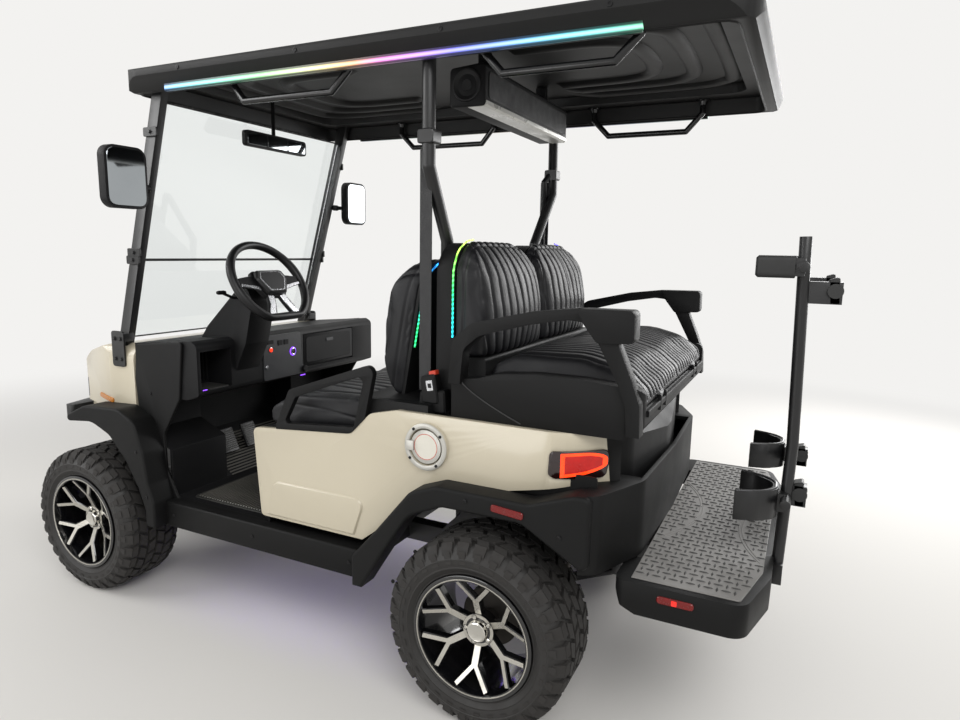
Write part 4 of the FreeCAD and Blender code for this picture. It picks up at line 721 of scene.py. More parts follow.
def ridge(foot, top, height, base=0.0):
    """Section of a rib: half widths at its foot and top, its height and the level that it stands on."""
    return [(-foot, base), (foot, base), (top, base + height), (-top, base + height)]


def link_together(name, parts, body="cart"):
    """A finished piece of several (mesh, finish) parts."""
    return link(name, together(name, parts), None, body)


floor_plastic = moulded("floor_plastic", "0A0A0B", "141415", (0.55, 0.75), 1.8, 0.2)
from_cad("floor_pan", "floor_and_footwell", floor_plastic, 0.006)
# Mat rubber: pressed and dull; its ribs are painted paler, a painted highlight
mat_rubber = surfaced("mat_rubber", "1C1C1C", 0.7, ("191919", "3A3935", 110, (0.5, 0.78)), (1.6, 0.15),
                      sockets={"Specular IOR Level": 0.4})
# Rib tops: the same rubber painted paler grey, a painted highlight where light catches the ribs
rib_rubber_painted_highlight = surfaced("rib_rubber_painted_highlight", "4C4B47", 0.45, ("3A3936", "66635C", 90, (0.35, 0.6)), (1.6, 0.1))
MAT_TOP = 0.424
RIB_PITCH = 0.0135
rib = moved(slab("X", ridge(0.500, 0.498, 0.0032, MAT_TOP), 0.0, 0.0062), (0.250, 0, 0))
ribs = grow(in_a_row, rib, {"Count": 29, "Step": (RIB_PITCH, 0, 0), "Finish": rib_rubber_painted_highlight})
mat_sheet = slab("Z", oblong(0.238, 0.652, -0.512, 0.512), 0.4204, MAT_TOP, 0.02, 0.001)
toe_rib = moved(slab("X", ridge(0.255, 0.253, 0.003), 0.0, 0.006), (0.712, 0, 0.4222), -30.4, "Y")
toe_ribs = grow(in_a_row, toe_rib, {"Count": 15, "Step": (0.0138, 0, 0.0081), "Finish": rib_rubber_painted_highlight})
link_together("ribbed_mat", [(mat_sheet, mat_rubber), (ribs, rib_rubber_painted_highlight), (toe_ribs, rib_rubber_painted_highlight)])

# Pedals: bent steel arms, black, with ribbed rubber pads
from_cad("pedals", "pedal_plates", powder_coat("pedal_paint", "131314", "1D1D1E", (0.35, 0.5)), 0.003)
pad_ribs = []
for y0, y1 in ((0.134, 0.216), (0.004, 0.076)):
    pedal_rib = moved(slab("Y", ridge(0.0030, 0.0022, 0.0035), y0, y1), (0.800, 0, 0.505), -65.8, "Y")
    row = grow(in_a_row, pedal_rib, {"Count": 10, "Step": (0.0037, 0, 0.0082), "Finish": mat_rubber})
    pad_ribs.append((row, mat_rubber))
link_together("pedal_ribs", pad_ribs)


# Body: glossy cream panels moulded through in colour, over black grained trims and flares
def strip_between(low, high):
    """A ribbon of faces between two lines of as many points."""
    count = len(low)
    faces = [(i, i + 1, count + i + 1, count + i) for i in range(count - 1)]
    return faced("strip", list(low) + list(high), faces)


def cut_fine(mesh, size):
    """The mesh with its long edges divided, so that it can follow a curved face."""
    form = bmesh.new()
    form.from_mesh(mesh)
    for turn in range(6):
        long = [e for e in form.edges if e.calc_length() > size]
        if not long:
            break
        bmesh.ops.subdivide_edges(form, edges=long, cuts=1, use_grid_fill=True)
    bmesh.ops.triangulate(form, faces=form.faces)
    form.to_mesh(mesh)
    form.free()
    return mesh


def laid(mesh, surface, toward, lift=0.0):
    """Flat work pushed along a direction on to a curved piece; what stands above its plane 0 stays above."""
    toward = Vector(toward).normalized()
    surface.data.update()
    for vertex in mesh.vertices:
        height = -vertex.co.dot(toward)
        start = vertex.co - toward * (2.0 - height)
        hit, where, normal, face = surface.ray_cast(start, toward)
        if hit:
            vertex.co = where - toward * (height + lift)
    return mesh


body_gloss = surfaced("body_gloss", "B9B09B", 0.3, ("BBB29D", "B6AD98", 600, (0.29, 0.33)), (14, 0.05),
                      sockets={"Coat Weight": 0.45, "Coat Roughness": 0.1})
trim_plastic = moulded("trim_plastic", "0B0B0B", "131313", (0.5, 0.68))
# Dark screws of the trims: small cross-head caps
screw_black = surfaced("screw_black", "0C0C0D", 0.35, ("0B0B0C", "1A1A1B", 20, (0.3, 0.5)),
                       sockets={"Metallic": 0.5})

from_cad("side_panels", "cream_side_panels", body_gloss, 0.005, 25)
nose_shell = from_cad("nose_panel", "cream_nose", body_gloss, 0.005, 25)
from_cad("front_mask", "nose_mask", trim_plastic, 0.003)
from_cad("front_bumper", "tube_bumper", chassis_coat, 0.010)
from_cad("side_trims", "sills_and_cowl_sides", trim_plastic, 0.005)
from_cad("flares", "wheel_flares", trim_plastic, 0.005, 25)


def screw(radius=0.0065):
    """A dished cap on the Y axis, its head towards +Y."""
    return turned([(0.0, 0.0016), (radius * 0.45, 0.0017), (radius * 0.55, 0.0030), (radius * 0.92, 0.0026),
                   (radius, 0.0), (0.0, 0.0)], 20)


# Screws hold the sills, the flares and the cowl's side.
TRIM_SCREWS = [(-0.165, 0.600, 0.375), (0.26, 0.600, 0.375), (0.66, 0.600, 0.375), (-0.455, 0.655, 0.500),
               (-0.375, 0.655, 0.385), (-0.62, 0.655, 0.690), (-0.905, 0.655, 0.640), (0.78, 0.655, 0.62),
               (0.735, 0.655, 0.45), (0.802, 0.560, 0.827)]
caps = []
for spot in TRIM_SCREWS:
    caps.append(both_sides(moved(screw(), spot)))
link("trim_screws", joined(caps), screw_black, "cart")

# Charging port on the left: a silvery moulded bezel with four dark screws about a round lid.
# The lid carries a plain white disc inside a thin red ring.
PORT_X = -0.450
PORT_Z = 0.808
PORT_FACE = 0.590
PORT = (PORT_X, PORT_FACE, PORT_Z)
bezel_grey = surfaced("bezel_grey", "B7B5AE", 0.34, ("BCBAB3", "A9A7A0", 60, (0.28, 0.42)), (1.2, 0.06),
                      sockets={"Metallic": 0.25})
disc_white = surfaced("disc_white", "CFCBC0", 0.5, ("D3CFC4", "C7C3B7", 30, (0.45, 0.6)))
line_red = surfaced("line_red", "C23A22", 0.45, ("C23A22", "B23019", 15, (0.4, 0.5)))
bezel = turned([(0.0582, 0.0002), (0.0582, 0.0038), (0.0605, 0.0052), (0.0690, 0.0048), (0.0724, 0.0030),
                (0.0732, 0.0002)], 72)
PORT_SCREW_CIRCLE = 0.0655
port_screws = []
for k in range(4):
    angle = math.radians(45 + 90 * k + 8)
    screw_x = PORT_X + PORT_SCREW_CIRCLE * math.cos(angle)
    screw_z = PORT_Z + PORT_SCREW_CIRCLE * math.sin(angle)
    port_screws.append(moved(screw(0.0048), (screw_x, PORT_FACE + 0.0046, screw_z)))
link_together("port_bezel", [(moved(bezel, PORT), bezel_grey), (joined(port_screws), screw_black)])
from_cad("charge_lid", "port_lid", bezel_grey, 0.002)
face_disc = turned([(0.0, 0.0004), (0.0405, 0.0004), (0.0405, 0.0), (0.0, 0.0)], 64)
face_ring = turned([(0.0385, 0.0004), (0.0385, 0.0007), (0.0402, 0.0007), (0.0402, 0.0004)], 64)
link_together("port_lid_disc", [(moved(face_disc, PORT), disc_white), (moved(face_ring, PORT), line_red)],
              "charge_lid")

# Tail lamps: a smoked housing whose rear part glows, an orange-red outline about a red field
# with darker cells. Head lamps: clear lenses over a dark bowl, with a strip that runs along the top.
smoked = surfaced("lamp_housing", "1A0504", 0.12, ("200605", "100303", 60, (0.1, 0.2)),
                  sockets={"Coat Weight": 0.6})
tail = from_cad("lamps", "tail_lamp_housings", smoked, 0.003, part=lambda at: at.x < 0)
clear_lens = surfaced("head_lamp_lens", "2E3236", 0.08, ("3A3F44", "24282C", 45, (0.06, 0.12)),
                      sockets={"Coat Weight": 0.8, "Metallic": 0.3})
head = from_cad("lamps", "head_lamp_lenses", clear_lens, 0.003, part=lambda at: at.x > 0, stands=False)


def glowing(name, colour, strength, other=None, patch_mm=30):
    # A lit lens: the colour of its plastic and the light that comes through it, a little uneven.
    finish, tree, shader, place = new_finish(name, colour, 0.25, {"Emission Strength": strength})
    light = cloudy(tree, shader, place, colour, other or colour, patch_mm, (0.2, 0.3))
    tree.links.new(light, shader.inputs["Emission Color"])
    return finish


outline_light = glowing("tail_outline_light", "FF4A12", 1.35, "FF2A0C")
field_light = glowing("tail_field_light", "C00E06", 0.35, "8C0A05")
cell_light = glowing("tail_cell_light", "C00A04", 0.35, "8A0603")
# Head lamps: two round projectors a side in bright bezels, under a white strip along the top
day_light = glowing("day_light", "E6ECF0", 0.55, "D2DAE2", 40)
projector_glass = glowing("projector_glass", "AEB8C0", 0.08, "7E8890", 12)
lamp_details = []
strip = cut_fine(slab("X", oblong(0.246, 0.440, 0.808, 0.8175), -0.001, 0.0012, 0.004), 0.012)
lamp_details.append((laid(strip, head, (-1, 0, 0)), day_light))
for y in (0.282, 0.350):
    for profile, finish in (([(0.0215, 0.0), (0.0225, 0.0026), (0.0260, 0.0026), (0.0268, 0.0)], chrome),
                            ([(0.0, 0.0024), (0.0100, 0.0020), (0.0190, 0.0006), (0.0195, 0.0), (0.0, 0.0)],
                             projector_glass)):
        round_part = moved(turned(profile, 40), (0.0, y, 0.777), -90)
        lamp_details.append((laid(round_part, head, (-1, 0, 0)), finish))
lamp_details += [(mirrored_mesh(mesh), finish) for mesh, finish in lamp_details]
link_together("head_lamp_details", lamp_details)
LAMP_FRONT = -0.874
LAMP_TIP = -0.986
LAMP_STEPS = 18


def lamp_edge(share, inset, upper):
    """Height of the lit D's upper or lower edge at a share of its length, drawn in by an inset."""
    round_end = math.sqrt(max(0.0, 1 - max(0.0, (share - 0.4) / 0.6) ** 2))
    middle = 0.8135 + 0.012 * share
    half = (0.0345 - 0.005 * share) * (0.22 + 0.78 * round_end)
    return middle + (half - inset) * (1 if upper else -1)


def lamp_band(first, last, low, high):
    """A flat band of the lamp from one share of its length to another, between two edge functions."""
    points = [first + (last - first) * i / LAMP_STEPS for i in range(LAMP_STEPS + 1)]
    span = LAMP_TIP - LAMP_FRONT
    return strip_between([(LAMP_FRONT + span * u, 0.0, low(u)) for u in points],
                         [(LAMP_FRONT + span * u, 0.0, high(u)) for u in points])


BAND = 0.0085
INNER_FROM = 0.10
INNER_TO = 0.90


def edge_at(inset, upper):
    """The function for one edge of the D at that inset."""
    return lambda share: lamp_edge(share, inset, upper)


outline_parts = [lamp_band(0.0, INNER_FROM, edge_at(0, False), edge_at(0, True)),
                 lamp_band(INNER_TO, 1.0, edge_at(0, False), edge_at(0, True)),
                 lamp_band(INNER_FROM, INNER_TO, edge_at(BAND, True), edge_at(0, True)),
                 lamp_band(INNER_FROM, INNER_TO, edge_at(0, False), edge_at(BAND, False))]
field = lamp_band(INNER_FROM, INNER_TO, edge_at(BAND, False), edge_at(BAND, True))
cells = []
for k in range(3):
    start = 0.20 + 0.17 * k
    for top in (0.012, -0.004):
        cells.append(lamp_band(start, start + 0.13, lambda u, t=top: 0.8165 + 0.008 * u + t - 0.011,
                               lambda u, t=top: 0.8165 + 0.008 * u + t))
lit = []
for part, finish, lift in ((joined(outline_parts), outline_light, 0.0012), (field, field_light, 0.0008),
                           (joined(cells), cell_light, 0.0012)):
    part = laid(part, tail, (0, -1, 0), lift)
    lit.append((both_sides(part), finish))
link_together("tail_lights", lit)

# Reflectors: red on the rear flares, amber on the nose above the front wheels. Their faint glow is a painted
# reflection, as a reflector has no light of its own.
reflector_red_painted_glow = glowing("reflector_red_painted_glow", "7A0C0A", 0.10, "4A0706", 8)
reflector_amber_painted_glow = glowing("reflector_amber_painted_glow", "B8741C", 0.06, "9A5A10", 8)
rear_reflector = slab("Y", oblong(-0.049, 0.049, -0.0105, 0.0105), -0.004, 0.005, 0.008, 0.002)
moved(rear_reflector, (-0.7505, 0.655, 0.683), -5, "Y")
link("flare_reflectors", both_sides(rear_reflector), reflector_red_painted_glow, "cart")
marker = slab("Y", [(1.020, 0.766), (1.148, 0.772), (1.148, 0.791), (1.020, 0.785)], -0.003, 0.006, 0.0094,
              0.002)
marker = laid(cut_fine(marker, 0.015), nose_shell, (0, -1, 0))
link("side_markers", both_sides(marker), reflector_amber_painted_glow, "cart")

# Wheel-house liners: thin black sheets behind the panels' lower edges, over the rear wheels
liner = slab("Y", [(-0.975, 0.700), (-0.975, 0.790), (-0.66, 0.790), (-0.60, 0.660), (-0.66, 0.668),
                   (-0.80, 0.690)], 0.5535, 0.5585, 0.01)
link("wheel_house_liners", both_sides(liner), trim_plastic, "cart")
# Violet strips along the sills' inner foot light the ground under the cart.
under_glow = glowing("under_glow", "6A34E8", 16, "7A48F0", 60)
glow_cord = tube_along([(-0.190, 0.5370, 0.336), (0.640, 0.5370, 0.336)], 0.0040, 8)
link("ground_lights", both_sides(glow_cord), under_glow, "cart")


# Dashboard: one soft-grained black moulding with an open cubby, a switch panel, the steering
# column's shroud and a glove box. The small lights along it glow violet.
dash_plastic = moulded("dash_plastic", "0B0B0C", "141415", (0.48, 0.62), 1.8, 0.2)
from_cad("dashboard", "dash_moulding", dash_plastic, 0.008, 25)
from_cad("glovebox_lid", "glove_lid_moulding", dash_plastic, 0.004, 25)
DASH_FACE = 0.555
panel_grey = surfaced("switch_panel_grey", "232427", 0.42, ("26272A", "1D1E20", 70, (0.36, 0.5)), (0.8, 0.05))
satin_silver = surfaced("satin_silver", "C4C5C7", 0.25, ("CBCCCE", "9FA0A3", 40, (0.18, 0.34)),
                        sockets={"Metallic": 0.9})
violet_light = glowing("violet_light", "9A4DF0", 2.2, "6A3CF0", 60)
red_light = glowing("red_light", "FF3A1C", 2.0, "D01808", 8)


def knob(radius, height):
    """A round button whose axis is Y, its head towards +Y."""
    profile = [(0.0, height), (radius * 0.8, height), (radius, height * 0.75), (radius, 0.0), (0.0, 0.0)]
    return turned(profile, 28)


def on_dash(mesh, y, z):
    """A mesh drawn with +Y outwards, moved on to the dash face at a place across it."""
    return moved(mesh, (DASH_FACE - 0.004, y, z), 90)


panel = slab("X", [(-0.055, 0.842), (0.215, 0.842), (0.215, 1.030), (-0.012, 1.030), (-0.020, 0.880),
                   (-0.055, 0.872)], DASH_FACE + 0.004, DASH_FACE - 0.004, 0.014, 0.0015)
key_ring = turned([(0.0105, 0.0), (0.0105, 0.004), (0.0128, 0.005), (0.0150, 0.004), (0.0150, 0.0)], 32)
key_glow = turned([(0.0155, 0.0004), (0.0155, 0.0016), (0.0190, 0.0016), (0.0190, 0.0004)], 32)
key_slot = slab("Y", oblong(-0.0012, 0.0012, -0.006, 0.006), 0.0, 0.0022)
rocker = slab("Y", oblong(-0.017, 0.017, -0.008, 0.008), 0.0, 0.004, 0.002, 0.001)
KEY = (0.041, 0.949)
switch_parts = [(panel, panel_grey), (on_dash(key_ring, *KEY), satin_silver),
                (on_dash(key_glow, *KEY), violet_light), (on_dash(knob(0.0100, 0.002), *KEY), panel_grey),
                (on_dash(key_slot, *KEY), screw_black), (on_dash(rocker, 0.176, 1.003), dash_plastic),
                (on_dash(knob(0.0085, 0.005), 0.174, 0.970), red_light),
                (on_dash(knob(0.0105, 0.0025), 0.174, 0.970), satin_silver),
                (on_dash(knob(0.0150, 0.012), -0.030, 0.862), dash_plastic),
                (on_dash(knob(0.0075, 0.006), 0.200, 0.900), satin_silver)]
for y in (0.118, 0.082):
    blank = slab("Y", oblong(-0.013, 0.013, -0.011, 0.011), 0.0, 0.003, 0.002, 0.001)
    switch_parts.append((on_dash(blank, y, 0.995), dash_plastic))
link_together("switch_panel", switch_parts)

# Cubby: upright fins on its back wall, a rubber floor and a violet line along its lower lip
fin = moved(slab("Z", oblong(0.672, 0.684, -0.002, 0.002), 0.872, 0.992), (0, 0.402, 0))
fins = grow(in_a_row, fin, {"Count": 8, "Step": (0.0, 0.0165, 0.0), "Finish": dash_plastic})
cubby_floor = slab("Z", oblong(0.562, 0.680, 0.392, 0.526), 0.8555, 0.859, 0.006, 0.001)
cubby_light = tube_along([(0.5565, 0.506, 0.8595), (0.5565, 0.525, 0.8595)], 0.0016)
link_together("cubby_lining", [(fins, dash_plastic), (cubby_floor, mat_rubber), (cubby_light, violet_light)])

# Glove lid: a raised border, a latch and the violet line under the box
lid_field = slab("X", oblong(-0.372, -0.048, 0.884, 1.000), DASH_FACE + 0.002, DASH_FACE - 0.0025, 0.014,
                 0.002)
latch = slab("X", oblong(-0.236, -0.186, 0.968, 0.984), DASH_FACE, DASH_FACE - 0.0055, 0.005, 0.0015)
link_together("glove_lid_field", [(lid_field, dash_plastic), (latch, panel_grey)],
              "glovebox_lid")
under_light = tube_along([(0.612, -0.105, 0.8175), (0.612, -0.075, 0.8175)], 0.0022)
link("dash_light_line", under_light, violet_light, "cart")

# Stalks: the turn lever on the column's left and a short one on its right
stalks = []
GRIP_PROFILE = [(0.0, 0.020), (0.0060, 0.019), (0.0078, 0.012), (0.0078, -0.012), (0.0055, -0.020),
                (0.0, -0.020)]
for y0, y1, tip in ((0.360, 0.452, 0.026), (0.240, 0.165, 0.012)):
    end = (0.520, y1, 1.198 + tip)
    stalks.append(tube_along([(0.505, y0, 1.198), (0.510, (y0 + y1) / 2, 1.203), end], 0.0055, 12))
    stalks.append(moved(turned(GRIP_PROFILE, 16), end))
link("column_stalks", joined(stalks), dash_plastic, "cart")

# Steering wheel: a foam-moulded rim flattened at the foot, on a cast frame with satin silver
# trims on the spokes, and a plain pad in a thin silver outline
WHEEL_CENTRE = Vector((0.425, 0.300, 1.260))
COLUMN_TILT = math.radians(58.5)
RIM_RADIUS = 0.165
RIM_FLAT = 0.147
GRIP = 0.0162
RIM_STRETCH = 1.06
wheel_leather = moulded("wheel_rim_skin", "0A0A0B", "141415", (0.36, 0.5), 1.2, 0.12, 0.32)
wheel_place = Matrix.Translation(WHEEL_CENTRE) @ Matrix.Rotation(-COLUMN_TILT, 4, "Y") @ Matrix.Rotation(
    math.radians(-90), 4, "Z")
RIM_STEPS = 96
SECTION = 14
ring_points, ring_faces = [], []
for i in range(RIM_STEPS):
    angle = math.tau * i / RIM_STEPS
    out = Vector((math.cos(angle), math.sin(angle)))
    reach = min(RIM_RADIUS, RIM_FLAT / max(0.01, -out.y)) if out.y < 0 else RIM_RADIUS
    thick = GRIP + 0.0012 * math.exp(-((abs(math.sin(angle)) - 0.35) / 0.25) ** 2)
    for k in range(SECTION):
        turn = math.tau * k / SECTION
        radius = reach + thick * math.cos(turn) * 0.92
        ring_points.append((out.x * radius * RIM_STRETCH, out.y * radius, thick * math.sin(turn)))
        here, ahead_of, on = i * SECTION, (i + 1) % RIM_STEPS * SECTION, (k + 1) % SECTION
        ring_faces.append((here + k, ahead_of + k, ahead_of + on, here + on))
wheel_rim = faced("wheel_rim", ring_points, ring_faces)
pad_outline = [(-0.066, 0.044), (0.066, 0.044), (0.082, 0.006), (0.046, -0.056), (-0.046, -0.056),
               (-0.082, 0.006)]
# Layers of the hub from its back to the pad and the silver outline: size, from, to, corner, edge, finish
HUB_LAYERS = [(1.12, -0.014, 0.004, 0.018, 0.003, dash_plastic),
              (1.00, -0.012, 0.024, 0.016, 0.007, wheel_leather),
              (0.80, 0.0236, 0.0244, 0.013, 0.0003, satin_silver),
              (0.75, 0.0236, 0.0250, 0.012, 0.0008, wheel_leather)]
side_spoke = [(0.055, 0.030), (0.110, 0.026), (0.153, 0.020), (0.156, -0.014), (0.110, -0.018),
              (0.062, -0.026)]
spoke_trim = [(0.070, -0.018), (0.112, -0.010), (0.151, -0.004), (0.154, -0.016), (0.112, -0.024),
              (0.066, -0.036)]
foot_spoke = [(0.004, -0.040), (0.046, -0.040), (0.056, -0.090), (0.088, -0.138), (0.042, -0.141),
              (0.020, -0.090)]
foot_trim = [(0.016, -0.060), (0.044, -0.054), (0.052, -0.090), (0.080, -0.134), (0.048, -0.137),
             (0.026, -0.092)]
# Spokes and trims of one side: outline, from, to, corner, edge, finish
HALF_FRAME = [(side_spoke, -0.008, 0.006, 0.005, 0.002, dash_plastic),
              (spoke_trim, 0.003, 0.0085, 0.003, 0.0015, satin_silver),
              (foot_spoke, -0.008, 0.004, 0.006, 0.002, dash_plastic),
              (foot_trim, 0.002, 0.0065, 0.002, 0.0015, satin_silver)]
wheel_parts = [(wheel_rim, wheel_leather)]
for size, *levels, finish in HUB_LAYERS:
    wheel_parts.append((slab("Z", [(u * size, v * size) for u, v in pad_outline], *levels), finish))
for sign in (1, -1):
    for outline, *levels, finish in HALF_FRAME:
        wheel_parts.append((slab("Z", [(u * sign, v) for u, v in outline], *levels), finish))
column = turned([(0.0, 0.0), (0.026, 0.0), (0.030, 0.012), (0.030, 0.034), (0.014, 0.040), (0.014, 0.155),
                 (0.0, 0.155)], 28)
wheel_parts.append((moved(column, (0, 0, 0), -90, "X"), dash_plastic))
steering_mesh = together("steering_wheel_built", wheel_parts)
steering_mesh.transform(wheel_place)
link("steering_wheel_built", steering_mesh, None, "steering_wheel", ("steering_wheel",))


# Front struts: black coated steel channels on bolted feet, with a satin silver strip inside each that paints
# in the bright highlight along the strut's inner edge
frame_paint = powder_coat("frame_paint", "0A0A0B", "131314", (0.32, 0.48))
from_cad("front_struts", "windshield_struts", frame_paint, 0.004)
STRUT_Y = 0.520
STRUT_HALF = 0.015


def strut_front(z):
    """Station of the strut's front face, which carries the glass."""
    return 0.965 - 0.295 * (z - 1.050) + 0.025


bolt = turned([(0.0, 0.0062), (0.0055, 0.0060), (0.0065, 0.0045), (0.0065, 0.0012), (0.0100, 0.0012),
               (0.0100, 0.0), (0.0, 0.0)], 18)
front_fittings = []
# The silver strip along each strut's inner front edge is a painted highlight.
strut_highlight_line = [(strut_front(z) - 0.022, STRUT_Y - STRUT_HALF - 0.0015, z) for z in (1.06, 1.90)]
strut_highlight_strip = tube_along(strut_highlight_line, 0.0035, 8)
for x, z in ((0.948, 0.950), (0.982, 0.950), (0.948, 1.030), (0.982, 1.030)):
    front_fittings.append(both_sides(moved(bolt.copy(), (x, 0.568, z))))
# Clamps hold the folding glass on the struts, high up and at the split.
CLAMP_FACE = STRUT_Y + STRUT_HALF + 0.007
for z in (1.337, 1.365, 1.800):
    x = strut_front(z)
    clamp = slab("Y", oblong(x - 0.058, x + 0.012, z - 0.016, z + 0.016), STRUT_Y + STRUT_HALF - 0.001,
                 CLAMP_FACE, 0.006, 0.0015)
    front_fittings.append(both_sides(clamp))
    front_fittings.append(both_sides(moved(bolt.copy(), (x - 0.024, CLAMP_FACE, z))))
link_together("strut_fittings", [(joined(front_fittings), frame_paint), (both_sides(strut_highlight_strip), satin_silver)])

# Windshield: two sheets of clear acrylic, with black rubber along the split and both outer edges
clear_screen, tree, shader, place = new_finish("clear_screen", "F4F8F8", 0.02, {
    "Transmission Weight": 1.0, "IOR": 1.45, "Specular IOR Level": 0.4})
haze = add(tree, "ShaderNodeTexNoise", None, {"Vector": place, "Scale": 4.0, "Detail": 4.0})
tree.links.new(ranged(tree, haze.outputs["Fac"], 0.3, 0.8, 0.0, 0.035), shader.inputs["Roughness"])
from_cad("windshield", "screen_panes", clear_screen, 0.0)
seal_rubber = surfaced("seal_rubber", "151515", 0.6, ("131313", "202020", 50, (0.5, 0.7)), (1.5, 0.08))
seals = []
for z in (1.335, 1.339, 1.027, 1.912):
    seal_x = strut_front(z) + 0.0025
    seals.append(tube_along([(seal_x, -0.519, z), (seal_x, 0.519, z)], 0.0034, 8))
link("screen_seals", joined(seals), seal_rubber, "cart")

# Mirrors: black moulded shells; the silvered glass sits in the face that looks back
silvered = surfaced("mirror_silver", "A4A9AC", 0.03, ("A9AEB1", "979CA0", 200, (0.02, 0.05)),
                    sockets={"Metallic": 1.0})
from_cad("mirrors", "mirror_shells", dash_plastic, 0.006)
mirror_glasses = []
side_glass = slab("X", oblong(0.589, 0.733, 1.529, 1.723), 0.7225, 0.7195, 0.032, 0.001)
mirror_glasses.append(both_sides(side_glass))
for y0, y1 in ((-0.171, -0.063), (-0.058, 0.058), (0.063, 0.171)):
    mirror_glasses.append(slab("X", oblong(y0, y1, 1.808, 1.854), 0.6405, 0.6378, 0.008, 0.001))
link("mirror_glasses", joined(mirror_glasses), silvered, "cart")
JOINT_PROFILE = [(0.0, 0.026), (0.010, 0.024), (0.014, 0.012), (0.014, -0.012), (0.010, -0.024),
                 (0.0, -0.026)]
joints = [moved(turned(JOINT_PROFILE, 24), (0.775, y, 1.600)) for y in (0.553, -0.553)]
link("mirror_joints", joined(joints), dash_plastic, "cart")

# Seats: foam under a sewn cover of black grained vinyl. The covers carry parallel sewn channels
# between plain side bolsters, with sewn seams where the panels meet.
SEAM_DEPTH = 0.0045
SEAM_WIDTH = 0.0042
PAD_GRID = 0.0085
BACK_CHANNEL = 0.0435
CUSHION_CHANNEL = 0.0375

seat_vinyl, tree, shader, place = new_finish("seat_vinyl", "0E0E10", 0.46, {"Specular IOR Level": 0.27})
cloudy(tree, shader, place, "0D0D0F", "17171A", 170, (0.4, 0.54))
pores = add(tree, "ShaderNodeTexVoronoi", {"feature": "DISTANCE_TO_EDGE"}, {"Vector": place, "Scale": 620.0})
creases = add(tree, "ShaderNodeTexNoise", None, {"Vector": place, "Scale": 75.0, "Detail": 3.0})
grain = calculated(tree, "MULTIPLY_ADD", pores.outputs["Distance"], 0.8, creases.outputs["Fac"])
raised(tree, shader, grain, 0.6, 0.5)


def evened(mesh, grid, rounds):
    """The mesh on an even grid of quads with its edges worn round."""
    holder = placed("pad", mesh)
    even = holder.modifiers.new("even", "REMESH")
    even.mode = "VOXEL"
    even.voxel_size = grid
    soft = holder.modifiers.new("soft", "SMOOTH")
    soft.iterations = rounds
    soft.factor = 0.5
    return worked(holder)


CALM_ROUNDS = 14
WRINKLE_SHARE = 0.22


def calmed(mesh, shifts):
    """The shifts evened out over their neighbours, with a share of the fine wrinkles left in."""
    beside = [[] for vertex in mesh.vertices]
    for edge in mesh.edges:
        first, second = edge.vertices
        beside[first].append(second)
        beside[second].append(first)
    even = shifts
    for turn in range(CALM_ROUNDS):
        even = [sum((even[n] for n in near), even[i]) / (len(near) + 1) for i, near in enumerate(beside)]
    return [calm.lerp(own, WRINKLE_SHARE) for calm, own in zip(even, shifts)]


AIR_PRESSURE = 4.0
COVER_STIFFNESS = 12
CLOTH_STEPS = 20


def swollen(mesh, held, cap):
    """The cover blown up over its foam by a cloth simulation; held points stay, and none moves
    past the cap."""
    pad = placed("pad", mesh)
    group = pad.vertex_groups.new(name="held")
    group.add([v.index for v in mesh.vertices if held(v.co)], 1.0, "REPLACE")
    cover = pad.modifiers.new("cover", "CLOTH")
    cover.settings.vertex_group_mass = "held"
    cover.settings.use_pressure = True
    cover.settings.uniform_pressure_force = AIR_PRESSURE
    cover.settings.quality = 4
    cover.settings.tension_stiffness = COVER_STIFFNESS
    cover.settings.compression_stiffness = COVER_STIFFNESS
    cover.settings.effector_weights.gravity = 0.0
    cover.collision_settings.use_collision = False
    for step in range(CLOTH_STEPS):
        bpy.context.scene.frame_set(step + 1)
    shown = pad.evaluated_get(bpy.context.evaluated_depsgraph_get())
    moved = [v.co.copy() for v in shown.data.vertices]
    shifts = []
    for vertex, to in zip(mesh.vertices, moved):
        shift = to - vertex.co
        shifts.append(shift * min(1.0, cap / max(shift.length, cap)))
    for vertex, shift in zip(mesh.vertices, calmed(mesh, shifts)):
        vertex.co += shift
    bpy.data.objects.remove(pad)
    bpy.context.scene.frame_set(1)
    return mesh


def subdivided(mesh):
    """The mesh with each quad split in four and smoothed."""
    holder = placed("pad", mesh)
    finer = holder.modifiers.new("finer", "SUBSURF")
    finer.levels = 1
    finer.render_levels = 1
    return worked(holder)


def valley(distance, width=SEAM_WIDTH):
    """How deep a sewn line draws the cover in, from 1 on the line to 0 away from it."""
    return math.exp(-(distance / width) ** 2)


def sewn(mesh, draw):
    """Cover drawn in along its sewn lines; draw gives the depth at a point with its normal."""
    normals = [v.normal.copy() for v in mesh.vertices]
    for vertex, normal in zip(mesh.vertices, normals):
        vertex.co -= normal * draw(vertex.co, normal)
    for face in mesh.polygons:
        face.use_smooth = True
    return mesh


def channels(u, first, last, pitch, depth=SEAM_DEPTH):
    """Depth at a place across evenly sewn channels that run from first to last."""
    if not first - pitch * 0.3 <= u <= last + pitch * 0.3:
        return 0.0
    nearest = first + round((min(max(u, first), last) - first) / pitch) * pitch
    puff = 0.5 - 0.5 * math.cos(math.tau * (u - first) / pitch)
    return depth * valley(u - nearest) - 0.0015 * puff * (first <= u <= last)


def limited(value):
    """A value kept between 0 and 1."""
    return max(0.0, min(1.0, value))


SWELL_CAP = 0.009
WORN_ROUNDS = 9


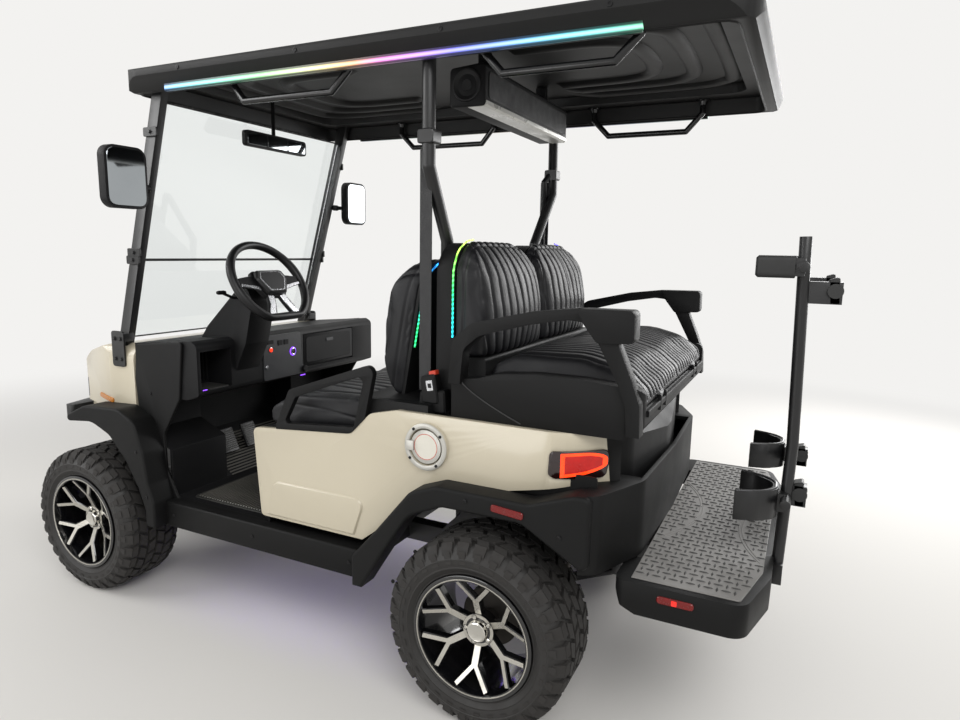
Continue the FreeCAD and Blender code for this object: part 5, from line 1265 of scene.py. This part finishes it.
def pad(name, node, body, held, draw, shape, mirror=False):
    """A padded piece made from its node's form: held tells which points stay, shape moves the even form
    and draw gives the depth of its sewn lines. With mirror, the right half is the left one's reflection."""
    form = cad_form(node, (lambda at: at.y >= 0) if mirror else None)
    bmesh.ops.recalc_face_normals(form, faces=form.faces)
    form.normal_update()
    mesh = evened(as_mesh(form, name), PAD_GRID, WORN_ROUNDS)
    for vertex in mesh.vertices:
        vertex.co = shape(vertex.co)
    mesh.update()
    mesh = sewn(subdivided(swollen(mesh, held, SWELL_CAP)), draw)
    if mirror:
        mesh = both_sides(mesh)
    piece = link(name, mesh, seat_vinyl, body, (node,), None)


# Front cushion: one wide pad whose channels run from front to rear and spread towards the rear, between
# plain domed ends
FRONT_SEAM_Y = 0.455


def front_cushion_draw(at, normal):
    """Depth of the sewn lines: the channels on top, a seam at each domed end and one round the side."""
    side = abs(at.y)
    if normal.z < -0.3:
        return 0.0
    depth = 0.0
    spread = 1 + 0.14 * min(1.0, max(0.0, (0.19 - at.x) / 0.36)) ** 2
    if (normal.z > 0.1 or normal.x > 0.3) and at.z > 0.81:
        depth += channels(side / spread, 0.045, 0.3825, CUSHION_CHANNEL)
    depth += SEAM_DEPTH * valley(side - FRONT_SEAM_Y) * (normal.z > 0.1)
    depth += 1.3 * SEAM_DEPTH * valley(side, 0.007)
    side_seam_z = 0.835 + 0.02 * math.sin((at.x + 0.18) * 6)
    depth += 0.6 * SEAM_DEPTH * valley(at.z - side_seam_z) * (abs(normal.z) < 0.6)
    return depth


def front_cushion_shape(at):
    """Crowns the two seats' places and draws the ends in."""
    crown = 0.012 * (1 - (abs(abs(at.y) - 0.25) / 0.27) ** 2)
    lift = limited((at.z - 0.80) / 0.08)
    pinch = 0.010 * max(0.0, 1 - ((at.x - 0.02) / 0.22) ** 2) * (abs(at.y) > 0.5)
    return Vector((at.x, at.y - math.copysign(0.006 - pinch * 0.5, at.y), at.z + (crown - 0.012) * lift))


pad("front_cushion_cover", "front_cushion", "cart", lambda at: at.z < 0.785 or at.x < -0.165,
    front_cushion_draw, front_cushion_shape)


# Backs: a panel of upright channels that bow out at mid height, inside a plain bolster
def back_channels(at, across_low, across_high, low, high):
    """Place across a back's channels as if they were straight: the panel is wider at mid height."""
    share = (at.z - low) / (high - low)
    belly = 0.036 * math.sin(math.pi * limited(share))
    middle = (across_low + across_high) / 2
    half = (across_high - across_low) / 2
    return (abs(at.y) - middle) * half / (half + belly) + middle


def front_back_draw(at, normal):
    """Depth of the sewn lines: the channels on the face and a seam round the side."""
    u = back_channels(at, 0.070, 0.4180, 0.93, 1.37)
    depth = 0.0
    if normal.x > -0.25:
        depth += channels(u, 0.070, 0.4180, BACK_CHANNEL) * (at.z > 0.95)
    rear = at.x - (-0.275 - (at.z - 0.928) * 0.18)
    depth += 0.8 * SEAM_DEPTH * valley(rear - 0.034) * (abs(normal.x) < 0.7)
    return depth


def front_back_shape(at):
    """Draws the bolster sides in between their corners, crowns the face and rounds its foot under."""
    out = limited((at.x + 0.33) / 0.10)
    foot = max(0.0, (1.080 - at.z) / 0.15)
    out_share = limited((at.x + 0.275 + (at.z - 0.928) * 0.18) / 0.09)
    crown = 0.010 * (1 - ((abs(at.y) - 0.236) / 0.23) ** 2)
    side = math.copysign(0.006, abs(at.y) - 0.236)
    forward = crown * out - 0.008 * out - 0.050 * foot ** 2 * out_share
    return Vector((at.x + forward, at.y - side, at.z - 0.004))


pad("front_back_covers", "front_backs", "cart", lambda at: at.x < -0.262 - (at.z - 0.928) * 0.18,
    front_back_draw, front_back_shape, mirror=True)


def rear_back_draw(at, normal):
    """Depth of the sewn lines: the channels on the face and a seam round the side."""
    u = back_channels(at, 0.066, 0.4575, 1.08, 1.43)
    depth = 0.0
    if normal.x < 0.25:
        depth += channels(u, 0.066, 0.4575, BACK_CHANNEL)
    depth += 0.9 * SEAM_DEPTH * valley(at.x + 0.522) * (abs(normal.x) < 0.75)
    return depth


def rear_back_shape(at):
    """Crowns the face and draws the sides in."""
    out = limited((-0.50 - at.x) / 0.09)
    crown = 0.014 * (1 - ((abs(at.y) - 0.256) / 0.25) ** 2)
    side = math.copysign(0.006, abs(at.y) - 0.256)
    return Vector((at.x + 0.010 * out - crown * out, at.y - side, at.z - 0.004))


pad("rear_back_covers", "rear_backs", "cart", lambda at: at.x > -0.500 or at.z < 1.090,
    rear_back_draw, rear_back_shape, mirror=True)

# Rear cushion: a wide pad whose channels run from front to rear and fold down over the rear edge, between
# plain domed ends
REAR_SEAM_Y = 0.462


def rear_cushion_draw(at, normal):
    """Depth of the sewn lines: the channels, a seam at each domed end and one in the middle."""
    side = abs(at.y)
    depth = 0.0
    if (normal.z > 0.1 or normal.x < -0.35) and at.z > 1.0:
        depth += channels(side, 0.045, 0.420, CUSHION_CHANNEL)
        depth += SEAM_DEPTH * valley(side - REAR_SEAM_Y)
    depth += 1.3 * SEAM_DEPTH * valley(side, 0.007) * (normal.z > -0.2)
    return depth


def rear_cushion_shape(at):
    """Crowns the two places, domes the ends and draws the sides in."""
    high = limited((at.z - 1.00) / 0.08)
    dome = 0.020 * (1 - ((at.x + 0.85) / 0.24) ** 2) * (abs(at.y) > 0.44) * (abs(at.y) - 0.44) / 0.06
    crown = 0.008 * (1 - (abs(abs(at.y) - 0.25) / 0.26) ** 2)
    lift = -0.012 * high + crown * high + min(dome, 0.004) * high
    return Vector((at.x, at.y - math.copysign(0.004, at.y), at.z + lift))


pad("rear_cushion_cover", "rear_cushion", "rear_cushion", lambda at: at.z < 0.998,
    rear_cushion_draw, rear_cushion_shape)


# Roof: one large black moulding with a down-turned rim; ribs and a shallow dish stiffen its underside
roof_plastic = moulded("roof_plastic", "0C0C0C", "141414", (0.49, 0.55), 2.2, 0.15, 0.26)
from_cad("roof", "roof_moulding", roof_plastic, 0.012, 25)
CEILING = 1.985
CROWN = 2.018


def bead(points, width, depth):
    """A rounded rib that hangs from the ceiling along a level path; ends fade into it."""
    lines = []
    count = len(points)
    for u, drop in ((-1.0, 0.0), (-0.72, 0.62), (-0.3, 0.95), (0.3, 0.95), (0.72, 0.62), (1.0, 0.0)):
        line = []
        for i, point in enumerate(points):
            run = (points[min(i + 1, count - 1)] - points[max(i - 1, 0)]).normalized()
            across = Vector((-run.y, run.x, 0))
            fade = min(1.0, i / 2, (count - 1 - i) / 2)
            line.append(point + across * width / 2 * u - Vector((0, 0, depth * drop * fade - 0.001)))
        lines.append(line)
    form = bmesh.new()
    for low, high in zip(lines, lines[1:]):
        form.from_mesh(strip_between(low, high))
    bmesh.ops.remove_doubles(form, verts=form.verts, dist=1e-5)
    for face in form.faces:
        if face.normal.z > 0:
            face.normal_flip()
        face.smooth = True
    return as_mesh(form, "bead")


def smooth_path(points, steps=6):
    """Points joined by a smooth curve through each of them."""
    path_points = [Vector(p) for p in points]
    result = []
    for i in range(len(path_points) - 1):
        before = path_points[max(i - 1, 0)]
        a, b = path_points[i], path_points[i + 1]
        after = path_points[min(i + 2, len(path_points) - 1)]
        for k in range(steps):
            t = k / steps
            result.append(0.5 * ((2 * a) + (b - before) * t + (2 * before - 5 * a + 4 * b - after) * t * t
                                 + (3 * a - before - 3 * b + after) * t ** 3))
    return result + [path_points[-1]]


# Ribs: nested loops, open in the middle of the cart, whose corners sweep round at each end of the roof
beads = []
for end, turn in ((-1.150, 1), (0.680, -1)):
    for inset in (0.0, 0.115, 0.230):
        half = 0.415 - inset * 0.8
        x = end + turn * inset
        loop = [(x + turn * 0.62 - turn * inset, half), (x + turn * 0.30, half),
                (x + turn * 0.12, half - 0.006), (x + turn * 0.03, half - 0.050), (x, half - 0.150)]
        loop += [(px, -py) for px, py in reversed(loop)]
        beads.append(bead(smooth_path([(px, py, CROWN) for px, py in loop], 5), 0.058, 0.017))
link("roof_ribs", joined(beads), roof_plastic, "cart")
# Lip round the mouth of the hollow underside, with rounded corners
MOUTH_REAR, MOUTH_FRONT, MOUTH_HALF, MOUTH_CORNER = -1.247, 0.792, 0.550, 0.040
# corners in turn, with the angle at which each starts
MOUTH_CORNERS = [(MOUTH_REAR, MOUTH_HALF, 180), (MOUTH_FRONT, MOUTH_HALF, 90),
                 (MOUTH_FRONT, -MOUTH_HALF, 0), (MOUTH_REAR, -MOUTH_HALF, -90)]
lip_path = []
for x, y, first in MOUTH_CORNERS:
    for step in range(4):
        angle = math.radians(first - 30 * step)
        lip_path.append(Vector((x - math.copysign(MOUTH_CORNER, x) + MOUTH_CORNER * math.cos(angle),
                                y - math.copysign(MOUTH_CORNER, y) + MOUTH_CORNER * math.sin(angle), 1.9305)))
link("roof_lip", tube_along(lip_path, 0.0035, 8, True), roof_plastic, "cart")

# Screws along the rim hold the light strips' carrier.
rim_screws = []
for x in (0.517, 0.010, -0.494, -0.960):
    rim_screws.append(both_sides(moved(screw(0.0075), (x, 0.5995, CEILING))))
link("roof_screws", joined(rim_screws), screw_black, "cart")


# Light strips: milky extrusions over coloured diodes, whose colour runs along the roof
def running_light(name, strength, axis, start, end, stops, diode_mm=0, core=None):
    # The strip's light: a ramp of colours along the cart's length or height. With a diode pitch, the light
    # falls off between the diodes; with a core, given as a level and a half height, it is brightest and
    # palest there and dim above and below.
    finish, tree, shader, place = new_finish(name, "DDE8EA", 0.3, {"Emission Strength": strength})
    parts = add(tree, "ShaderNodeSeparateXYZ", None, {0: place})
    ramp = add(tree, "ShaderNodeValToRGB", None, {"Fac": ranged(tree, parts.outputs[axis], start, end)})
    points = ramp.color_ramp.elements
    points[0].position, points[0].color = stops[0][0], linear(stops[0][1])
    points[1].position, points[1].color = stops[-1][0], linear(stops[-1][1])
    for spot, colour in stops[1:-1]:
        points.new(spot).color = linear(colour)
    tree.links.new(ramp.outputs["Color"], shader.inputs["Emission Color"])
    tree.links.new(ramp.outputs["Color"], shader.inputs["Base Color"])
    if diode_mm:
        climb = calculated(tree, "ADD", parts.outputs["Y"], parts.outputs["Z"])
        beat = calculated(tree, "SINE", calculated(tree, "MULTIPLY", climb, math.tau * 1000 / diode_mm))
        power = ranged(tree, beat, -0.5, 0.9, strength * 0.12, strength * 1.7)
        tree.links.new(power, shader.inputs["Emission Strength"])
    if core:
        level, core_half = core
        far = calculated(tree, "ABSOLUTE", calculated(tree, "SUBTRACT", parts.outputs["Z"], level))
        glow = ranged(tree, far, core_half * 0.3, core_half, strength, strength * 0.05, "SMOOTHSTEP")
        tree.links.new(glow, shader.inputs["Emission Strength"])
        white = ranged(tree, far, 0.0, core_half, 0.42, 0.0)
        pale = add(tree, "ShaderNodeMix", {"data_type": "RGBA"},
                   {0: white, 6: ramp.outputs["Color"], 7: linear("FFFFFF")})
        tree.links.new(pale.outputs[2], shader.inputs["Emission Color"])
        tree.links.remove(shader.inputs["Base Color"].links[0])
        shader.inputs["Base Color"].default_value = linear("1A1C1E")
    return finish


LED_FRONT = 0.616
LED_REAR = -1.035
# share of the strip's length from the front, colour
ROOF_COLOURS = [(0.0, "2F9BFF"), (0.05, "22D8F2"), (0.17, "2BE0B0"), (0.27, "6FE86A"), (0.36, "D8F0A0"),
                (0.43, "FFE27A"), (0.49, "FF9A3C"), (0.545, "F24BD0"), (0.62, "B45CFF"), (0.69, "4C4CFF"),
                (0.79, "2F9BFF"), (0.88, "27D8F0"), (1.0, "2BD89A")]
roof_light = running_light("roof_light", 1.7, "X", LED_FRONT, LED_REAR, ROOF_COLOURS, core=(1.9335, 0.0085))
from_cad("led_strips", "roof_light_strips", roof_light, 0.0015)
# The carrier that holds the strip against the rim: a thin black extrusion above it
carrier = slab("X", [(0.556, 1.931), (0.5615, 1.931), (0.5615, 1.9215), (0.556, 1.9215)], LED_FRONT, LED_REAR)
link("strip_carriers", both_sides(carrier), roof_plastic, "cart")

# Grab handles: bent steel tube, gloss black, on small flanges
gloss_paint = powder_coat("gloss_tube_paint", "0B0B0C", "131314", (0.14, 0.26))
from_cad("grab_handles", "roof_grab_handles", gloss_paint, 0.0)
FLANGE_PROFILE = [(0.0, 0.0), (0.026, 0.0), (0.026, 0.004), (0.016, 0.007), (0.013, 0.020), (0.0, 0.020)]
flanges = []
for x in (-0.13, 0.35, -1.02, -0.59):
    flanges.append(both_sides(moved(turned(FLANGE_PROFILE, 28), (x, 0.520, CEILING), -90, "X")))
link("handle_flanges", joined(flanges), gloss_paint, "cart")

# Sound bar: a long black box with round grilles at its ends, a woven grille in front and a pale
# strip along the lower rear edge
from_cad("sound_bar", "sound_bar_case", dash_plastic, 0.006)
SOUND_REAR = -0.522
SOUND_LOW = 1.830
pale_strip = surfaced("pale_strip", "B9B8B2", 0.3, ("C2C1BB", "9C9B96", 80, (0.22, 0.4)), (1.2, 0.05),
                      sockets={"Metallic": 0.4})
grille_cloth, tree, shader, place = new_finish("grille_mesh", "0B0B0C", 0.6, {"Metallic": 0.3})
cloudy(tree, shader, place, "0A0A0B", "19191A", 40, (0.5, 0.7))
holes = add(tree, "ShaderNodeTexVoronoi", {"feature": "F1"},
            {"Vector": place, "Scale": 320.0, "Randomness": 0.0})
raised(tree, shader, holes.outputs["Distance"], 0.8)
strip = slab("Y", [(SOUND_REAR - 0.0015, SOUND_LOW + 0.016), (SOUND_REAR - 0.0015, SOUND_LOW + 0.004),
                   (SOUND_REAR + 0.006, SOUND_LOW - 0.0015), (SOUND_REAR + 0.060, SOUND_LOW - 0.0015),
                   (SOUND_REAR + 0.060, SOUND_LOW + 0.003), (SOUND_REAR + 0.008, SOUND_LOW + 0.004),
                   (SOUND_REAR + 0.003, SOUND_LOW + 0.010), (SOUND_REAR + 0.003, SOUND_LOW + 0.016)], -0.366,
             0.366)
grille = slab("X", oblong(-0.352, 0.352, SOUND_LOW + 0.024, SOUND_LOW + 0.104), SOUND_REAR + 0.002,
              SOUND_REAR - 0.003, 0.016, 0.002)
cone = turned([(0.0, 0.000), (0.016, 0.001), (0.020, -0.004), (0.040, 0.002), (0.043, 0.005), (0.047, 0.005),
               (0.049, 0.0), (0.0, -0.006)], 40)
moved(cone, (SOUND_REAR + 0.061, 0.3755, SOUND_LOW + 0.062))
link_together("sound_bar_details",
              [(strip, pale_strip), (grille, grille_cloth), (both_sides(cone), grille_cloth)])

# Rear posts: round tube with welded belt rails; clamp collars join them to the roof
from_cad("rear_posts", "rear_roof_posts", frame_paint, 0.0)
collar = slab("Y", oblong(-0.442, -0.388, 1.700, 1.742), 0.496, 0.546, 0.010, 0.003)
head_plate = slab("Z", oblong(-0.455, -0.375, 0.480, 0.556), 1.984, 1.972, 0.010, 0.002)
link("post_collars", joined([both_sides(collar), both_sides(head_plate)]), frame_paint, "cart")


# Hard parts of the seats: black moulded pedestal, console shell, bench base and box, and armrests
seat_plastic = moulded("seat_shell_plastic", "0B0B0C", "141414", (0.46, 0.62), 1.6, 0.15)
from_cad("seat_pedestal", "pedestal", seat_plastic, 0.005)
from_cad("seat_shell", "console_and_shells", seat_plastic, 0.006, 25)
from_cad("rear_body", "bench_base_and_box", seat_plastic, 0.007, 25)
from_cad("armrests", "armrest_loops", seat_plastic, 0.012, 25)
# A fine seam where the base's side skin meets its front cap, and a lip along the base's rear edge, under the
# cushion's hinges
lip = slab("Y", oblong(-1.080, -1.092, 0.962, 0.980), -0.500, 0.500, 0.003)
link("base_lip", lip, seat_plastic, "cart")
seam_line = []
for step in range(15):
    share = step / 14
    seam_line.append(Vector((-0.545 - 0.20 * share, 0.5602, 1.026 - 0.115 * share ** 0.7)))
seam_cord = tube_along(seam_line, 0.0022, 6)
link("base_seams", both_sides(seam_cord), seal_rubber, "cart")

# Light strips round the edges of the backs: a clear cord over diodes; the colour runs up or across the back
shell_light = running_light("shell_light", 2.0, "Z", 1.12, 1.43, [
    (0.0, "1FC8F0"), (0.25, "22E0D0"), (0.5, "2BE07A"), (0.8, "7BE84A"), (1.0, "C8E860")], 14)
violet_edge = running_light("violet_edge", 2.0, "Y", 0.0, -0.5, [
    (0.0, "8A5CFF"), (0.4, "7A3CF0"), (1.0, "4C5CFF")], 14)
blue_edge = running_light("blue_edge", 2.2, "Z", 1.15, 1.39, [
    (0.0, "2BE07A"), (0.35, "22D8E8"), (0.7, "2FB0FF"), (1.0, "2F6CFF")], 14)
LIGHT_CORD = 0.0026
rear_edge = smooth_path([(-0.4895, 0.5015, 1.135), (-0.4895, 0.5015, 1.200), (-0.4895, 0.5015, 1.300),
                         (-0.4895, 0.4960, 1.345), (-0.4895, 0.4700, 1.392), (-0.4895, 0.4200, 1.4215),
                         (-0.4895, 0.3700, 1.4300)])
rear_cord = tube_along(rear_edge, LIGHT_CORD, 8)
link("rear_shell_light_left", rear_cord, shell_light, "cart")
link("rear_shell_light_right", mirrored_mesh(rear_cord), violet_edge, "cart")
front_edge = smooth_path([(-0.3235, 0.4490, 1.085), (-0.3390, 0.4500, 1.170), (-0.3560, 0.4490, 1.265),
                          (-0.3640, 0.4330, 1.312), (-0.3695, 0.3960, 1.345), (-0.3720, 0.3500, 1.3600),
                          (-0.3725, 0.2800, 1.3640)])
front_cord = tube_along(front_edge, LIGHT_CORD, 8)
link("front_shell_lights", both_sides(front_cord), blue_edge, "cart")

strap_nylon, tree, shader, place = new_finish("strap_nylon", "131314", 0.7, {"Sheen Weight": 0.25})
cloudy(tree, shader, place, "111112", "1F1F21", 25, (0.6, 0.8))
weave = add(tree, "ShaderNodeTexWave", {"wave_type": "BANDS", "bands_direction": "DIAGONAL"},
            {"Vector": place, "Scale": 420.0})
raised(tree, shader, weave.outputs["Fac"], 0.3)
# Seat belts: a webbing strap down each belt rail to a buckle box on the console, with a steel tongue
# and a red button
belt_parts = []
webbing = slab("Y", oblong(-0.412, -0.372, 0.960, 1.690), 0.4975, 0.5000, 0.004)
buckle = slab("Y", [(-0.462, 0.930), (-0.404, 0.930), (-0.398, 1.012), (-0.448, 1.024)], 0.506, 0.538, 0.010,
              0.004)
tongue = slab("Y", [(-0.446, 0.972), (-0.424, 0.968), (-0.418, 1.000), (-0.440, 1.004)], 0.5375, 0.5400,
              0.003, 0.0008)
slot_mark = slab("Y", [(-0.440, 0.980), (-0.428, 0.978), (-0.425, 0.992), (-0.437, 0.994)], 0.5398, 0.5404,
                 0.002)
button = slab("Y", [(-0.450, 1.020), (-0.426, 1.015), (-0.424, 1.028), (-0.448, 1.034)], 0.512, 0.532, 0.003,
              0.002)
case = slab("Y", [(-0.484, 0.900), (-0.386, 0.900), (-0.392, 0.962), (-0.480, 0.974)], 0.470, 0.532, 0.010,
            0.005)
for mesh, finish in ((case, seat_plastic), (webbing, strap_nylon), (buckle, seat_plastic),
                     (tongue, satin_silver), (slot_mark, screw_black), (button, line_red)):
    belt_parts.append((both_sides(mesh), finish))
link_together("seat_belts", belt_parts)


# Footplate: a black moulded deck with a deep skirt, covered by a grey diamond-tread rubber mat
# with round grooves and a smooth margin
skirt_plastic = moulded("skirt_plastic", "0B0B0B", "131313", (0.45, 0.62))
from_cad("footplate", "deck_and_skirt", skirt_plastic, 0.006, 25)
deck_mat = surfaced("deck_mat", "757370", 0.4, ("6A6865", "83807C", 120, (0.32, 0.5)), (1.5, 0.06),
                    sockets={"Specular IOR Level": 0.6})
# Lugs: the same rubber painted darker, a painted shade for the shadowed sides of the lugs
lug_rubber_painted_shade = surfaced("lug_rubber_painted_shade", "2A2A29", 0.5, ("232322", "3A3937", 40, (0.4, 0.6)))
DECK_LEVEL = 0.535
MAT_THICK = 0.0035
MAT_X0, MAT_X1 = -1.402, -1.086
MAT_HALF = 0.575
GROOVE_WIDTH = 0.011
# Grooves: centre X and Y, radius, all on the mat
GROOVES = [(-0.697, 0.012, 0.488), (-1.815, 0.060, 0.497)]
# The third value is the corner's own radius.
mat_outline = [(MAT_X1, -MAT_HALF), (MAT_X1, MAT_HALF), (MAT_X0 + 0.040, MAT_HALF, 0.01),
               (MAT_X0, 0.382, 0.03), (MAT_X0, -0.382, 0.03), (MAT_X0 + 0.040, -MAT_HALF, 0.01)]
mat_plate = slab("Z", mat_outline, DECK_LEVEL - 0.001, DECK_LEVEL + MAT_THICK, 0.0, 0.001)


def diamond(degrees):
    """One raised tread bar: a long narrow lozenge with a flat crown."""
    form = bmesh.new()
    foot = [form.verts.new(p) for p in ((-0.0135, 0, 0), (0, -0.0036, 0), (0.0135, 0, 0), (0, 0.0036, 0))]
    crown = [form.verts.new(p) for p in ((-0.0090, 0, 0.0026), (0, -0.0018, 0.0026), (0.0090, 0, 0.0026),
                                         (0, 0.0018, 0.0026))]
    walled(form, foot, crown)
    form.faces.new(crown)
    return moved(as_mesh(form, "diamond"), (0, 0, 0), degrees)


def on_mat(x, y, margin=0.010):
    """Whether a tread bar at a place is on the mat and off its grooves."""
    if not MAT_X0 + margin < x < MAT_X1 - margin or abs(y) > MAT_HALF - margin:
        return False
    corner = (abs(y) - 0.382) * 0.040 / (MAT_HALF - 0.382)
    if abs(y) > 0.37 and x < MAT_X0 + corner + margin:
        return False
    return all(abs(math.hypot(x - cx, y - cy) - radius) > GROOVE_WIDTH for cx, cy, radius in GROOVES)


def copies_at_points():
    """Node tree: a copy of an object's mesh on each point of a mesh, with a material."""
    tree, given = new_grower("copies_at_points", [("Piece", "NodeSocketObject"),
                                                  ("Finish", "NodeSocketMaterial")])
    source = add(tree, "GeometryNodeObjectInfo", None, {"Object": given["Piece"]})
    return dressed_copies(tree, given, {"Points": given["Geometry"], "Instance": source.outputs["Geometry"]})


at_points = copies_at_points()
TREAD_PITCH = 0.0285
tread_parts = [(mat_plate, deck_mat)]
for odd, degrees in ((0, 90), (1, 0)):
    spots = []
    for i in range(15):
        for k in range(43):
            x = MAT_X0 + 0.012 + TREAD_PITCH * i * 0.78
            y = -MAT_HALF + TREAD_PITCH * k * 0.98
            if (i + k) % 2 == odd and on_mat(x, y):
                spots.append((x, y, DECK_LEVEL + MAT_THICK))
    places = faced("places", spots, [])
    bar_piece = placed("tread_bar", diamond(degrees))
    tread_parts.append((grow(at_points, places, {"Piece": bar_piece, "Finish": lug_rubber_painted_shade}), lug_rubber_painted_shade))
    bpy.data.objects.remove(bar_piece)


def arc_rail(centre_x, centre_y, radius):
    """The two fine ridges beside a groove, where it lies on the mat."""
    rails = []
    for offset in (-0.0045, 0.0045):
        line = []
        for i in range(181):
            angle = math.tau * i / 180
            x = centre_x + (radius + offset) * math.cos(angle)
            y = centre_y + (radius + offset) * math.sin(angle)
            if MAT_X0 + 0.006 < x < MAT_X1 - 0.004 and abs(y) < MAT_HALF - 0.006:
                line.append(Vector((x, y, DECK_LEVEL + MAT_THICK)))
        line.sort(key=lambda p: p.y)
        if len(line) > 2:
            rails.append(tube_along(line, 0.0016, 6))
    return rails


tread_parts.append((joined([rail for groove in GROOVES for rail in arc_rail(*groove)]), deck_mat))
link_together("tread_mat", tread_parts)
# Red reflectors on the skirt's sides; the glowing spot in each is a painted glint, as a reflector has no
# light of its own.
skirt_reflector = slab("Y", oblong(-1.254, -1.160, 0.494, 0.514), 0.597, 0.6045, 0.009, 0.002)
painted_glint_core = slab("Y", oblong(-1.212, -1.198, 0.497, 0.511), 0.6040, 0.6055, 0.002)
glint_red_painted = glowing("reflector_painted_glint", "E02A20", 0.9, "B8140E", 6)
sides = [(skirt_reflector, reflector_red_painted_glow), (painted_glint_core, glint_red_painted)]
sides += [(mirrored_mesh(mesh), finish) for mesh, finish in sides]
link_together("skirt_reflectors", sides)
# Small black stops hold the mat's front edge.
stops = []
for y in (0.262, -0.285):
    stops.append(slab("Z", oblong(-1.078, -1.052, y - 0.018, y + 0.018), 0.530, 0.546, 0.004, 0.003))
link("mat_stops", joined(stops), skirt_plastic, "cart")

# Bag rack: black coated posts and bars; the cradles and arms are padded with ribbed rubber, and ratchet
# buckles sit behind the bars
from_cad("bag_rack", "rack_posts_and_arms", frame_paint, 0.003)
RACK_X = -1.432
pad_rubber = surfaced("rack_pad_rubber", "121212", 0.62, ("101010", "1F1F1F", 60, (0.5, 0.72)), (2.0, 0.2))
arm_pads = []
for y in (0.222, 0.302):
    arm_pad = slab("X", oblong(y - 0.0265, y + 0.0265, 1.3395, 1.3985), RACK_X + 0.022, RACK_X + 0.1185,
                   0.014, 0.006)
    arm_pads.append(both_sides(arm_pad))
link("rack_arm_pads", joined(arm_pads), pad_rubber, "cart")
# A glossy rubber edge strip along the top of each saddle
edge_rubber = surfaced("saddle_edge_rubber", "1C1C1D", 0.28, ("171718", "262627", 60, (0.22, 0.36)))
saddle_edges = []
for side in (1, -1):
    half_line = [(0.0200, 0.0), (0.0230, 0.030), (0.0450, 0.062), (0.0800, 0.0830), (0.1190, 0.0965)]
    line = [(RACK_X + x, side * 0.262 - y, 0.7525) for x, y in half_line[::-1]]
    line += [(RACK_X + x, side * 0.262 + y, 0.7525) for x, y in half_line[1:]]
    saddle_edges.append(tube_along(smooth_path(line, 5), 0.0042, 8))
link("saddle_edges", joined(saddle_edges), edge_rubber, "cart")
ratchets = []
for x, z in ((RACK_X - 0.0985, 1.300), (RACK_X - 0.0605, 0.720)):
    drum = turned([(0.0, 0.026), (0.020, 0.026), (0.020, 0.022), (0.010, 0.020), (0.010, -0.020),
                   (0.020, -0.022), (0.020, -0.026), (0.0, -0.026)], 24)
    moved(drum, (x + 0.018, 0.210, z + 0.006))
    lever = slab("Y", [(x + 0.004, z - 0.030), (x + 0.030, z - 0.030), (x + 0.036, z + 0.036),
                       (x + 0.010, z + 0.044)], 0.190, 0.230, 0.006, 0.002)
    ratchets.append(both_sides(joined([drum, lever])))
link("strap_ratchets", joined(ratchets), chassis_coat, "cart")
